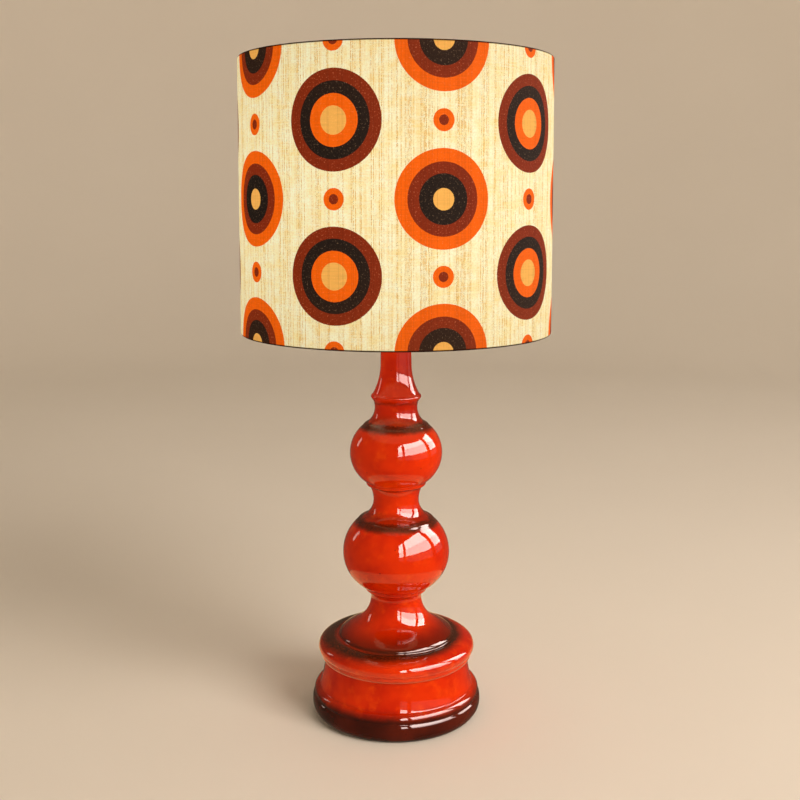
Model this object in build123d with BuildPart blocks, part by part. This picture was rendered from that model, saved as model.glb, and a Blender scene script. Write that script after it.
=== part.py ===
"""Ceramic baluster table lamp with a printed drum shade.

A hollow glazed ceramic body stands on a felt pad. A threaded steel tube runs up through it and
clamps it between a dished base plate and a brass neck cap, and carries a screw lampholder with a
push-through switch. A wire-framed fabric drum turns on the lampholder between two threaded rings.

Millimetres, +Z up. The origin is on the lamp's axis at the underside of the felt.
"""

import os
from math import cos, radians, sin

from build123d import *

os.makedirs("parts", exist_ok=True)

# Clearances
running_gap = 0.25  # between pieces that turn or slide on each other
thread_gap = 0.05  # between a plain stand-in for a thread and its hole
seat_gap = 0.15  # round a piece that is pushed or dropped into its seat

# Turned body, radii
foot_rim_radius = 82.0
foot_radius = 86.0
foot_crease_radius = 84.1
bead_top_radius = 79.0
waist_radius = 73.1
shoulder_lip_radius = 76.2
shoulder_radius = 79.4
shoulder_crown_radius = 76.0
groove_outer_radius = 60.6
bell_edge_radius = 57.6
bell_turn_radius = 42.3
lower_throat_radius = 25.6
lower_ball_radius = 53.6
middle_throat_radius = 22.7
upper_ball_radius = 46.0
upper_throat_radius = 21.1
collar_radius = 24.9
stem_foot_radius = 15.6
stem_top_radius = 14.7

# Turned body, heights of each moulding, stacked from the foot up
foot_bulge_height = 9.5
foot_ring_height = 18.0
foot_bead_height = 9.3
waist_height = 28.7
shoulder_lip_height = 5.7
shoulder_nose_height = 5.8
shoulder_crown_height = 12.2
shoulder_height = 17.0
bell_edge_height = 2.4
bell_turn_height = 13.1
bell_height = 40.8
lower_ball_rise = 47.0  # from its throat up to the widest point
lower_ball_drop = 32.7  # from the widest point up to its top ring
middle_throat_rise = 21.3
upper_ball_rise = 48.5
upper_ball_drop = 27.1
upper_throat_rise = 18.4
collar_rise = 10.9
flare_height = 27.1
stem_height = 42.0

# The small beads that part one moulding from the next
lower_lip_flare = 2.4  # from the throat out to where the lip under the ball starts
lower_lip_rise = 6.4
upper_lip_flare = 4.0
upper_lip_rise = 15.0
lip_width = 3.0
lip_height = 3.6
lower_ring_radius = 39.0
upper_ring_radius = 33.0
ring_width = 4.5
ring_height = 3.6
ring_bulge = 0.6
groove_depth = 1.4
collar_nose_height = 3.0
top_edge_round = 0.8

# Ceramic wall
wall = 7.0
foot_wall = 8.0
hollow_cuts = 8  # straight cuts that line the hollow of each ball
neck_wall = 4.5
rim_inner_radius = 71.5
plate_land = 5.7  # width of the flat rim left outside the base plate

# Felt pad
felt_thickness = 1.5
felt_inset = 1.5
felt_opening_radius = 22.0

# Base plate and the hardware under it
plate_thickness = 1.2
plate_edge_width = 42.0
dish_height = 12.0
dish_slope_width = 8.0
cord_hole_radius = 4.0
cord_hole_offset = 17.0
base_washer_radius = 12.0
base_washer_thickness = 1.5
base_nut_across_flats = 15.0
base_nut_height = 5.0

# Threaded tube
tube_radius = 5.0
tube_bore_radius = 3.9
tube_below_nut = 2.5
tube_end_inset = 1.0  # how far the tube's end stays inside the holder's entry bush

# Cord grommet, at the back of the foot
inlet_bore_radius = 3.4
grommet_wall = 1.6
grommet_flange_width = 2.8
grommet_flange_thickness = 1.8
grommet_lip_width = 1.3
grommet_lip_thickness = 2.0
grommet_lip_gap = 2.6  # the lip's clearance over the curve of the wall inside
spot_face_depth = 1.2
inlet_height = 13.0

# Brass neck cap
neck_washer_thickness = 1.0
neck_cap_thickness = 1.2
neck_cap_skirt = 6.0
neck_cap_gap = 0.4
neck_cap_round = 1.0
neck_nut_across_flats = 14.0
neck_nut_height = 3.0

# Lampholder
entry_radius = 8.5
entry_flange_width = 2.5
entry_flange_thickness = 2.0
holder_radius = 20.5
holder_wall = 2.4
collar_height = 5.0
shelf_round = 7.0
holder_height = 34.0
ledge_width = 1.6
well_slope = 2.0
spigot_length = 6.0
sleeve_radius = 19.6
sleeve_height = 32.0
sleeve_bore_radius = 16.4
sleeve_edge_round = 0.8
core_height = 18.5
core_flange_height = 3.5
shell_wall = 0.5
shell_height = 21.0
shell_opening_radius = 8.0
tongue_reach = 7.2
tongue_foot_length = 3.0
tongue_slope_length = 3.2
tongue_tip = 3.5
tongue_width = 5.0
tongue_thickness = 0.6
tongue_lift = 2.7
core_screw_offset = 10.7
core_screw_radius = 1.5
core_screw_length = 7.0
core_screw_head_radius = 2.4
core_screw_head_height = 1.6
terminal_offset = 11.0
terminal_length = 8.0
terminal_width = 5.5
terminal_height = 6.5
terminal_screw_offset = 1.6
terminal_screw_radius = 1.5
terminal_screw_length = 5.0
terminal_screw_head_radius = 2.2
terminal_screw_head_height = 1.4
wire_hole_radius = 1.1
wire_hole_offset = 2.4
grub_screw_radius = 1.5

# Push-through switch
bar_width = 9.0
bar_height = 6.0
bar_level = 17.5  # centre height above the bottom of the holder
bar_travel = 6.0
bar_proud = 2.0  # what stands out on the side that has been pushed
bar_end_round = 2.0
bar_shoulder_width = 13.0
bridge_length = 12.0
bridge_width = 6.0
bridge_thickness = 0.8
post_radius = 1.2
post_offset = 4.0

# Shade rings
shade_ring_radius = 27.5
lower_ring_height = 4.5
lower_ring_level = 7.5  # underside above the bottom of the sleeve
upper_ring_height = 6.5
ring_hub_radius = 23.5
ring_flange_height = 2.4
ring_notches = 12
ring_notch_radius = 1.6

# Bulb
bulb_radius = 30.0
bulb_length = 105.0
bulb_wall = 0.8
bulb_shoulder_angle = 35.0
bulb_cone_radius = 15.5
bulb_cone_level = 39.0
bulb_seat_depth = 10.0  # how far the glass reaches down into its cap
bulb_cap_radius = 13.1
bulb_cap_wall = 0.4
bulb_cap_height = 22.0
bulb_cap_rim = 1.4
insulator_height = 3.2
insulator_plug = 1.5
contact_radius = 4.6
contact_height = 1.0
stem_flare_height = 8.0
stem_tube_radius = 4.5
stem_tube_height = 30.0
lead_radius = 0.5
lead_start = 2.0
lead_spread = 12.0
lead_height = 24.0
filament_radius = 0.4
filament_rise = 5.0
filament_below_tip = 1.0

# Shade
shade_bottom_radius = 150.0
shade_top_radius = 147.0
shade_height = 255.0
shade_below_neck = 5.0  # how far the drum's lower edge hangs below the neck's top
cloth_thickness = 0.5
roll_folds = 8  # flats of the cloth where it is rolled over a wire
liner_thickness = 0.4
bond_gap = 0.02  # glue between the cloth and its liner
wire_radius = 1.2
arm_radius = 1.5
arm_count = 3
arm_first_angle = 90.0
arm_flat_length = 7.0
arm_bend_radius = 9.0
weld_gap = 0.02
fitter_radius = 31.0
fitter_thickness = 1.2
fitter_hole_gap = 0.4
fitter_grip = 2.0

# Levels of the turned body
z_rim = felt_thickness
z_foot_widest = z_rim + foot_bulge_height
z_foot_crease = z_rim + foot_ring_height
z_bead_top = z_foot_crease + foot_bead_height
z_waist_top = z_bead_top + waist_height
z_lip_top = z_waist_top + shoulder_lip_height
z_shoulder_widest = z_lip_top + shoulder_nose_height
z_shoulder_crown = z_lip_top + shoulder_crown_height
z_shoulder_top = z_lip_top + shoulder_height
z_bell_edge = z_shoulder_top + bell_edge_height
z_bell_turn = z_shoulder_top + bell_turn_height
z_lower_throat = z_shoulder_top + bell_height
z_lower_ball = z_lower_throat + lower_ball_rise
z_lower_ring = z_lower_ball + lower_ball_drop
z_middle_throat = z_lower_ring + middle_throat_rise
z_upper_ball = z_middle_throat + upper_ball_rise
z_upper_ring = z_upper_ball + upper_ball_drop
z_upper_throat = z_upper_ring + upper_throat_rise
z_collar = z_upper_throat + collar_rise
z_stem_foot = z_collar + flare_height
z_neck_top = z_stem_foot + stem_height

# Levels of the hardware
z_plate = z_rim
z_rebate = z_plate + plate_thickness
z_dish = z_plate + dish_height
z_nut_bottom = z_dish - base_washer_thickness - base_nut_height
z_tube_bottom = z_nut_bottom - tube_below_nut
z_cap_plate = z_neck_top + neck_washer_thickness
z_neck_nut = z_cap_plate + neck_cap_thickness
z_holder = z_neck_nut + neck_nut_height
z_shelf = z_holder + collar_height
z_holder_floor = z_shelf + holder_wall
z_entry_top = z_holder_floor + entry_flange_thickness
z_tube_top = z_entry_top - tube_end_inset
z_sleeve = z_holder + holder_height
z_sleeve_top = z_sleeve + sleeve_height
z_spigot = z_sleeve - spigot_length
z_ledge = z_spigot - core_flange_height
z_core_top = z_ledge + core_height
z_bar = z_holder + bar_level
z_bridge = z_bar + bar_height / 2
z_lower_shade_ring = z_sleeve + lower_ring_level
z_fitter = z_lower_shade_ring + lower_ring_height + running_gap
z_upper_shade_ring = z_fitter + fitter_thickness + running_gap
z_contact = z_core_top + tongue_lift + tongue_thickness + running_gap
z_insulator = z_contact + contact_height
z_bulb_cap = z_insulator + insulator_height
z_bulb_seat = z_bulb_cap + bulb_cap_height - bulb_seat_depth
z_bulb_centre = z_contact + bulb_length - bulb_radius
z_stem_top = z_bulb_seat + stem_tube_height
z_shade_bottom = z_neck_top - shade_below_neck
z_shade_top = z_shade_bottom + shade_height

# Sizes that follow from the ones above
rebate_radius = foot_rim_radius - plate_land
plate_radius = rebate_radius - seat_gap
dish_outer_radius = plate_radius - plate_edge_width
dish_radius = dish_outer_radius - dish_slope_width
chamber_radius = foot_radius - foot_wall
tube_hole_radius = tube_radius + running_gap
tube_thread_radius = tube_radius + thread_gap
grommet_radius = inlet_bore_radius + grommet_wall
grommet_flange_radius = grommet_radius + grommet_flange_width
y_spot_face = foot_radius - spot_face_depth
y_grommet_lip = chamber_radius - grommet_lip_gap
neck_cap_bore = stem_top_radius + neck_cap_gap
entry_hole_radius = entry_radius + seat_gap
collar_outer_radius = entry_radius + holder_wall
grub_screw_level = z_holder + collar_height / 2
socket_radius = holder_radius - holder_wall
well_radius = socket_radius - ledge_width
shell_inner_radius = bulb_cap_radius + running_gap
bar_length = 2 * (holder_radius + bar_proud) + bar_travel
bar_middle = -bar_travel / 2  # at rest the switch is on and the bar stands out to the left
ring_bore_radius = sleeve_radius + thread_gap
bulb_seat_radius = bulb_cap_radius - bulb_cap_wall - thread_gap
roll_radius = wire_radius + thread_gap + cloth_thickness
bottom_wire_radius = shade_bottom_radius - roll_radius
top_wire_radius = shade_top_radius - roll_radius
z_bottom_wire = z_shade_bottom + roll_radius
z_top_wire = z_shade_top - roll_radius


def write(piece, name):
    """Labels a finished piece and writes it as its own STEP file."""
    piece.part.label = name
    export_step(piece.part, f"parts/{name}.step")


def ball_lines(radius, level, lower_end, upper_end):
    """Two arcs that meet upright at the widest point of a turned ball."""
    TangentArc((radius, level), lower_end, tangent=(0, -1))
    TangentArc((radius, level), upper_end, tangent=(0, 1))


def lip_points(radius, level):
    """Start, crest and end of the small lip that rings the underside of a ball."""
    return (
        (radius, level),
        (radius + 0.88 * lip_width, level + 0.22 * lip_height),
        (radius + lip_width, level + lip_height),
    )


def straight_cuts(start, middle, end, cuts):
    """Points on the arc through three points, to be joined by straight cuts."""
    arc = ThreePointArc(start, middle, end, mode=Mode.PRIVATE)
    return [arc @ (number / cuts) for number in range(cuts + 1)]


def ring_points(radius, level):
    """Start, crest and end of the small bead that rings the top of a ball."""
    middle_r = radius - ring_width / 2
    middle_z = level + ring_height / 2
    slope = (ring_width**2 + ring_height**2) ** 0.5
    return (
        (radius, level),
        (middle_r + ring_bulge * ring_height / slope, middle_z + ring_bulge * ring_width / slope),
        (radius - ring_width, level + ring_height),
    )


# Ceramic body: the turned outside, then the cast inside at the wall's thickness
with BuildPart() as ceramic_body:
    with BuildSketch(Plane.XZ):
        with BuildLine():
            # Foot ring, bead, waist and shoulder
            ball_lines(
                foot_radius, z_foot_widest,
                (foot_rim_radius, z_rim), (foot_crease_radius, z_foot_crease),
            )
            bead_middle_r = (foot_crease_radius + bead_top_radius) / 2
            ThreePointArc(
                (foot_crease_radius, z_foot_crease),
                (bead_middle_r + 1.9, (z_foot_crease + z_bead_top) / 2 + 0.9),
                (bead_top_radius, z_bead_top),
            )
            TangentArc(
                (waist_radius, z_waist_top), (bead_top_radius, z_bead_top), tangent=(0, -1)
            )
            ThreePointArc(
                (waist_radius, z_waist_top),
                (shoulder_lip_radius, z_waist_top + shoulder_lip_height * 0.36),
                (shoulder_lip_radius, z_lip_top),
            )
            TangentArc(
                (shoulder_radius, z_shoulder_widest), (shoulder_lip_radius, z_lip_top), tangent=(0, -1)
            )
            nose = TangentArc(
                (shoulder_radius, z_shoulder_widest),
                (shoulder_crown_radius, z_shoulder_crown),
                tangent=(0, 1),
            )
            TangentArc(
                (shoulder_crown_radius, z_shoulder_crown),
                (groove_outer_radius, z_shoulder_top),
                tangent=nose % 1,
            )
            # Groove and bell
            groove_middle_r = (groove_outer_radius + bell_edge_radius) / 2
            groove_middle_z = (z_shoulder_top + z_bell_edge) / 2
            ThreePointArc(
                (groove_outer_radius, z_shoulder_top),
                (groove_middle_r - groove_depth * 0.62, groove_middle_z - groove_depth * 0.78),
                (bell_edge_radius, z_bell_edge),
            )
            bell = TangentArc(
                (lower_throat_radius, z_lower_throat),
                (bell_turn_radius, z_bell_turn),
                tangent=(0, -1),
            )
            TangentArc(
                (bell_turn_radius, z_bell_turn), (bell_edge_radius, z_bell_edge), tangent=bell % 1
            )
            # Lower ball
            lower_lip = lip_points(
                lower_throat_radius + lower_lip_flare, z_lower_throat + lower_lip_rise
            )
            lower_ring = ring_points(lower_ring_radius, z_lower_ring)
            TangentArc((lower_throat_radius, z_lower_throat), lower_lip[0], tangent=(0, 1))
            ThreePointArc(*lower_lip)
            ball_lines(lower_ball_radius, z_lower_ball, lower_lip[2], lower_ring[0])
            ThreePointArc(*lower_ring)
            TangentArc((middle_throat_radius, z_middle_throat), lower_ring[2], tangent=(0, -1))
            # Upper ball
            upper_lip = lip_points(
                middle_throat_radius + upper_lip_flare, z_middle_throat + upper_lip_rise
            )
            upper_ring = ring_points(upper_ring_radius, z_upper_ring)
            TangentArc((middle_throat_radius, z_middle_throat), upper_lip[0], tangent=(0, 1))
            ThreePointArc(*upper_lip)
            ball_lines(upper_ball_radius, z_upper_ball, upper_lip[2], upper_ring[0])
            ThreePointArc(*upper_ring)
            TangentArc((upper_throat_radius, z_upper_throat), upper_ring[2], tangent=(0, -1))
            # Collar and stem
            collar_foot = (upper_throat_radius + 1.1, z_upper_throat + collar_rise * 0.6)
            nose_foot = (collar_radius - 0.7, z_collar - collar_nose_height / 2)
            nose_head = (collar_radius - 0.8, z_collar + collar_nose_height / 2)
            TangentArc((upper_throat_radius, z_upper_throat), collar_foot, tangent=(0, 1))
            Line(collar_foot, nose_foot)
            ThreePointArc(nose_foot, (collar_radius, z_collar), nose_head)
            TangentArc((stem_foot_radius, z_stem_foot), nose_head, tangent=(0, -1))
            Line((stem_foot_radius, z_stem_foot), (stem_top_radius, z_neck_top - top_edge_round))
            Line(
                (stem_top_radius, z_neck_top - top_edge_round),
                (stem_top_radius - top_edge_round, z_neck_top),
            )
            # Bore of the neck and the cast hollows of the two balls
            neck_bore = stem_top_radius - neck_wall
            upper_hollow_throat = upper_throat_radius - wall
            middle_hollow_throat = middle_throat_radius - wall
            lower_hollow_throat = lower_throat_radius - wall
            Line((stem_top_radius - top_edge_round, z_neck_top), (neck_bore, z_neck_top))
            Line((neck_bore, z_neck_top), (neck_bore, z_stem_foot))
            Line((neck_bore, z_stem_foot), (upper_hollow_throat, z_upper_throat))
            Line(
                (upper_hollow_throat, z_upper_throat), (upper_hollow_throat, z_upper_ring + ring_height)
            )
            Polyline(*straight_cuts(
                (upper_hollow_throat, z_upper_ring + ring_height),
                (upper_ball_radius - wall, z_upper_ball),
                (middle_hollow_throat, upper_lip[0][1]),
                hollow_cuts,
            ))
            Line(
                (middle_hollow_throat, upper_lip[0][1]), (middle_hollow_throat, z_lower_ring + ring_height)
            )
            Polyline(*straight_cuts(
                (middle_hollow_throat, z_lower_ring + ring_height),
                (lower_ball_radius - wall, z_lower_ball),
                (lower_hollow_throat, lower_lip[0][1]),
                hollow_cuts,
            ))
            Line((lower_hollow_throat, lower_lip[0][1]), (lower_hollow_throat, z_lower_throat))
            # Chamber in the foot, closed below by the base plate
            bell_hollow = (bell_turn_radius - wall * 0.8, z_bell_turn - wall)
            chamber_top = (groove_outer_radius, z_shoulder_top - wall)
            waist_hollow = (waist_radius - wall, z_waist_top)
            foot_hollow = (bead_top_radius - wall, z_bead_top)
            TangentArc((lower_hollow_throat, z_lower_throat), bell_hollow, tangent=(0, -1))
            Line(bell_hollow, chamber_top)
            Polyline(
                chamber_top, (shoulder_radius - wall, z_shoulder_widest - 1.5), waist_hollow
            )
            Line(waist_hollow, foot_hollow)
            ThreePointArc(
                foot_hollow, (chamber_radius, inlet_height), (rim_inner_radius, z_rebate)
            )
            Line((rim_inner_radius, z_rebate), (rebate_radius, z_rebate))
            Line((rebate_radius, z_rebate), (rebate_radius, z_rim))
            Line((rebate_radius, z_rim), (foot_rim_radius, z_rim))
        make_face()
    revolve(axis=Axis.Z)
    # Hole for the cord grommet, with a flat ground round it
    with BuildSketch(Plane.XZ.offset(-y_spot_face)):
        with Locations((0, inlet_height)):
            Circle(grommet_flange_radius + 2 * seat_gap)
    extrude(amount=-2 * grommet_flange_thickness, mode=Mode.SUBTRACT)
    with BuildSketch(Plane.XZ.offset(-y_spot_face)):
        with Locations((0, inlet_height)):
            Circle(grommet_radius + seat_gap)
    extrude(amount=2 * wall, mode=Mode.SUBTRACT)
write(ceramic_body, "ceramic_body")


def write_ring(name, outer_radius, hole_radius, level, thickness):
    """Makes and writes a flat ring or a plain tube that stands on the given level."""
    with BuildPart() as ring:
        with BuildSketch(Plane.XY.offset(level)):
            Circle(outer_radius)
            Circle(hole_radius, mode=Mode.SUBTRACT)
        extrude(amount=thickness)
    write(ring, name)


def write_nut(name, across_flats, level, height):
    """Makes and writes a hexagon nut on the threaded tube."""
    with BuildPart() as nut:
        with BuildSketch(Plane.XY.offset(level)):
            RegularPolygon(across_flats / 2, 6, major_radius=False)
            Circle(tube_thread_radius, mode=Mode.SUBTRACT)
        extrude(amount=height)
    write(nut, name)


# Felt pad glued under the foot, open in the middle to reach the nut
write_ring("felt_pad", foot_rim_radius - felt_inset, felt_opening_radius, 0, felt_thickness)

# Dished steel plate that closes the foot and takes the clamping nut
with BuildPart() as base_plate:
    with BuildSketch(Plane.XZ):
        with BuildLine():
            Polyline(
                (tube_hole_radius, z_dish),
                (dish_radius, z_dish),
                (dish_outer_radius, z_plate),
                (plate_radius, z_plate),
                (plate_radius, z_rebate),
                (dish_outer_radius + plate_thickness / 2, z_rebate),
                (dish_radius + plate_thickness / 2, z_dish + plate_thickness),
                (tube_hole_radius, z_dish + plate_thickness),
                close=True,
            )
        make_face()
    revolve(axis=Axis.Z)
    with Locations((0, cord_hole_offset, z_dish + plate_thickness)):
        Hole(cord_hole_radius)
write(base_plate, "base_plate")

# Clamping hardware from the foot up to the neck
write_ring("base_washer", base_washer_radius, tube_hole_radius, z_dish - base_washer_thickness,
           base_washer_thickness)
write_nut("base_nut", base_nut_across_flats, z_nut_bottom, base_nut_height)
write_ring("threaded_tube", tube_radius, tube_bore_radius, z_tube_bottom,
           z_tube_top - z_tube_bottom)
write_ring("neck_washer", stem_top_radius - top_edge_round, tube_hole_radius, z_neck_top,
           neck_washer_thickness)
write_nut("neck_nut", neck_nut_across_flats, z_neck_nut, neck_nut_height)

# Flanged plastic grommet that lines the cord's hole
with BuildPart() as cord_grommet:
    with BuildSketch(Plane.XZ.offset(-y_spot_face)):
        with Locations((0, inlet_height)):
            Circle(grommet_flange_radius)
    extrude(amount=-grommet_flange_thickness)
    with BuildSketch(Plane.XZ.offset(-y_spot_face)):
        with Locations((0, inlet_height)):
            Circle(grommet_radius)
    extrude(amount=y_spot_face - y_grommet_lip)
    with BuildSketch(Plane.XZ.offset(-y_grommet_lip)):
        with Locations((0, inlet_height)):
            Circle(grommet_radius + grommet_lip_width)
    extrude(amount=grommet_lip_thickness)
    with BuildSketch(Plane.XZ.offset(-y_spot_face)):
        with Locations((0, inlet_height)):
            Circle(inlet_bore_radius)
    extrude(amount=2 * foot_wall, both=True, mode=Mode.SUBTRACT)
write(cord_grommet, "cord_grommet")

# Pressed brass cap over the top of the neck
with BuildPart() as neck_cap:
    with BuildSketch(Plane.XZ):
        with BuildLine():
            outside = neck_cap_bore + neck_cap_thickness
            Polyline(
                (outside - neck_cap_round, z_neck_nut),
                (tube_hole_radius, z_neck_nut),
                (tube_hole_radius, z_cap_plate),
                (neck_cap_bore, z_cap_plate),
                (neck_cap_bore, z_neck_nut - neck_cap_skirt),
                (outside, z_neck_nut - neck_cap_skirt),
                (outside, z_neck_nut - neck_cap_round),
            )
            TangentArc(
                (outside, z_neck_nut - neck_cap_round),
                (outside - neck_cap_round, z_neck_nut),
                tangent=(0, 1),
            )
        make_face()
    revolve(axis=Axis.Z)
write(neck_cap, "neck_cap")

# Threaded entry bush, flanged inside the holder and locked to the tube by a grub screw
with BuildPart() as entry_bush:
    with BuildSketch(Plane.XY.offset(z_holder)):
        Circle(entry_radius)
    extrude(amount=z_holder_floor - z_holder)
    with BuildSketch(Plane.XY.offset(z_holder_floor)):
        Circle(entry_radius + entry_flange_width)
    extrude(amount=entry_flange_thickness)
    with Locations((0, 0, z_entry_top)):
        Hole(tube_thread_radius)
    with BuildSketch(Plane.XZ):
        with Locations((0, grub_screw_level)):
            Circle(grub_screw_radius + thread_gap)
    extrude(amount=-2 * entry_radius, mode=Mode.SUBTRACT)
write(entry_bush, "entry_bush")

with BuildPart() as grub_screw:
    with BuildSketch(Plane.XZ.offset(-tube_thread_radius)):
        with Locations((0, grub_screw_level)):
            Circle(grub_screw_radius)
    extrude(amount=tube_thread_radius - collar_outer_radius)
write(grub_screw, "grub_screw")

# Moulded cup of the lampholder, with a window each side for the switch bar
with BuildPart() as holder_cup:
    with BuildSketch(Plane.XZ):
        with BuildLine():
            Polyline(
                (entry_hole_radius, z_holder_floor),
                (entry_hole_radius, z_holder),
                (collar_outer_radius, z_holder),
                (collar_outer_radius, z_shelf),
                (holder_radius - shelf_round, z_shelf),
            )
            TangentArc(
                (holder_radius - shelf_round, z_shelf),
                (holder_radius, z_shelf + shelf_round),
                tangent=(1, 0),
            )
            Polyline(
                (holder_radius, z_shelf + shelf_round),
                (holder_radius, z_sleeve),
                (socket_radius, z_sleeve),
                (socket_radius, z_ledge),
                (well_radius, z_ledge),
                (well_radius, z_holder_floor + well_slope),
                (well_radius - well_slope, z_holder_floor),
                (entry_hole_radius, z_holder_floor),
            )
        make_face()
    revolve(axis=Axis.Z)
    with BuildSketch(Plane.YZ):
        with Locations((0, z_bar)):
            Rectangle(bar_width + 2 * running_gap, bar_height + 2 * running_gap)
    extrude(amount=2 * holder_radius, both=True, mode=Mode.SUBTRACT)
    with BuildSketch(Plane.XZ):
        with Locations((0, grub_screw_level)):
            Circle(grub_screw_radius + thread_gap)
    extrude(amount=-2 * entry_radius, mode=Mode.SUBTRACT)
write(holder_cup, "holder_cup")

# Threaded sleeve that screws into the cup and takes the shade's two rings
with BuildPart() as holder_sleeve:
    with BuildSketch(Plane.XZ):
        with BuildLine():
            Polyline(
                (sleeve_radius - sleeve_edge_round, z_sleeve_top),
                (sleeve_bore_radius, z_sleeve_top),
                (sleeve_bore_radius, z_spigot),
                (socket_radius - thread_gap, z_spigot),
                (socket_radius - thread_gap, z_sleeve),
                (sleeve_radius, z_sleeve),
                (sleeve_radius, z_sleeve_top - sleeve_edge_round),
            )
            TangentArc(
                (sleeve_radius, z_sleeve_top - sleeve_edge_round),
                (sleeve_radius - sleeve_edge_round, z_sleeve_top),
                tangent=(0, 1),
            )
        make_face()
    revolve(axis=Axis.Z)
write(holder_sleeve, "holder_sleeve")

# Porcelain core, its flange pinched between the cup's ledge and the sleeve
with BuildPart() as holder_core:
    with BuildSketch(Plane.XY.offset(z_ledge)):
        Circle(socket_radius - seat_gap)
    extrude(amount=core_flange_height)
    with BuildSketch(Plane.XY.offset(z_spigot)):
        Circle(sleeve_bore_radius - seat_gap)
    extrude(amount=z_core_top - z_spigot)
    with Locations((core_screw_offset, 0, z_core_top), (-core_screw_offset, 0, z_core_top)):
        Hole(core_screw_radius + thread_gap, depth=core_screw_length)
write(holder_core, "holder_core")

# Brass shell that takes the bulb's thread, open in the middle for the centre tongue
with BuildPart() as screw_shell:
    with BuildSketch(Plane.XZ):
        with BuildLine():
            Polyline(
                (shell_opening_radius, z_core_top),
                (shell_inner_radius + shell_wall, z_core_top),
                (shell_inner_radius + shell_wall, z_core_top + shell_height),
                (shell_inner_radius, z_core_top + shell_height),
                (shell_inner_radius, z_core_top + shell_wall),
                (shell_opening_radius, z_core_top + shell_wall),
                close=True,
            )
        make_face()
    revolve(axis=Axis.Z)
    with Locations((core_screw_offset, 0, z_core_top), (-core_screw_offset, 0, z_core_top)):
        Hole(core_screw_radius + thread_gap)
write(screw_shell, "screw_shell")

# The two screws that hold the shell on the core
with BuildPart() as core_screws:
    with BuildSketch(Plane.XY.offset(z_core_top + shell_wall)):
        with Locations((core_screw_offset, 0), (-core_screw_offset, 0)):
            Circle(core_screw_head_radius)
    extrude(amount=core_screw_head_height)
    with BuildSketch(Plane.XY.offset(z_core_top + shell_wall)):
        with Locations((core_screw_offset, 0), (-core_screw_offset, 0)):
            Circle(core_screw_radius)
    extrude(amount=-core_screw_length)
write(core_screws, "core_screws")

# Sprung brass tongue under the bulb's centre contact
with BuildPart() as centre_tongue:
    with BuildSketch(Plane.XZ):
        foot_end = -tongue_reach + tongue_foot_length
        slope_end = foot_end + tongue_slope_length
        with BuildLine():
            Polyline(
                (-tongue_reach, z_core_top),
                (foot_end, z_core_top),
                (slope_end, z_core_top + tongue_lift),
                (tongue_tip, z_core_top + tongue_lift),
                (tongue_tip, z_core_top + tongue_lift + tongue_thickness),
                (slope_end - tongue_thickness / 2, z_core_top + tongue_lift + tongue_thickness),
                (foot_end - tongue_thickness / 2, z_core_top + tongue_thickness),
                (-tongue_reach, z_core_top + tongue_thickness),
                close=True,
            )
        make_face()
    extrude(amount=tongue_width / 2, both=True)
write(centre_tongue, "centre_tongue")

# Terminal blocks under the core, each with a screw and a hole for the wire
terminal_places = ((0, terminal_offset), (0, -terminal_offset))
terminal_screw_places = [(x - terminal_screw_offset, y) for x, y in terminal_places]
z_terminal = z_ledge - terminal_height
with BuildPart() as terminal_blocks:
    with BuildSketch(Plane.XY.offset(z_terminal)):
        with Locations(*terminal_places):
            Rectangle(terminal_length, terminal_width)
        with Locations(*terminal_screw_places):
            Circle(terminal_screw_radius + thread_gap, mode=Mode.SUBTRACT)
        with Locations(*[(x + wire_hole_offset, y) for x, y in terminal_places]):
            Circle(wire_hole_radius, mode=Mode.SUBTRACT)
    extrude(amount=terminal_height)
write(terminal_blocks, "terminal_blocks")

with BuildPart() as terminal_screws:
    with BuildSketch(Plane.XY.offset(z_terminal)):
        with Locations(*terminal_screw_places):
            Circle(terminal_screw_head_radius)
    extrude(amount=-terminal_screw_head_height)
    with BuildSketch(Plane.XY.offset(z_terminal)):
        with Locations(*terminal_screw_places):
            Circle(terminal_screw_radius)
    extrude(amount=terminal_screw_length)
write(terminal_screws, "terminal_screws")

# Switch bar, stopped at each end of its travel by the shoulders inside the cup
with BuildPart() as push_bar:
    with BuildSketch(Plane.YZ.offset(bar_middle)):
        with Locations((0, z_bar)):
            Rectangle(bar_width, bar_height)
    extrude(amount=bar_length / 2, both=True)
    ends = push_bar.faces().sort_by(Axis.X)
    fillet(ends[0].edges() + ends[-1].edges(), radius=bar_end_round)
    shoulder_room = (well_radius**2 - (bar_shoulder_width / 2) ** 2) ** 0.5
    with BuildSketch(Plane.YZ.offset(bar_middle)):
        with Locations((0, z_bar)):
            Rectangle(bar_shoulder_width, bar_height)
    extrude(amount=shoulder_room - bar_travel / 2 - running_gap, both=True)
write(push_bar, "push_bar")

# Bridging contact on the bar, and the two posts that it joins when the lamp is on
with BuildPart() as bridge_contact:
    with BuildSketch(Plane.XY.offset(z_bridge)):
        Rectangle(bridge_width, bridge_length)
    extrude(amount=bridge_thickness)
write(bridge_contact, "bridge_contact")

with BuildPart() as switch_posts:
    with BuildSketch(Plane.XY.offset(z_ledge)):
        with Locations((0, post_offset), (0, -post_offset)):
            Circle(post_radius)
    extrude(amount=z_bridge + bridge_thickness + running_gap - z_ledge)
write(switch_posts, "switch_posts")

# Shade rings on the sleeve: the lower carries the fitter plate, the upper keeps it down
with BuildPart() as lower_shade_ring:
    with BuildSketch(Plane.XY.offset(z_lower_shade_ring)):
        Circle(shade_ring_radius)
        Circle(ring_bore_radius, mode=Mode.SUBTRACT)
        with PolarLocations(shade_ring_radius, ring_notches):
            Circle(ring_notch_radius, mode=Mode.SUBTRACT)
    extrude(amount=lower_ring_height)
write(lower_shade_ring, "lower_shade_ring")

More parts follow.
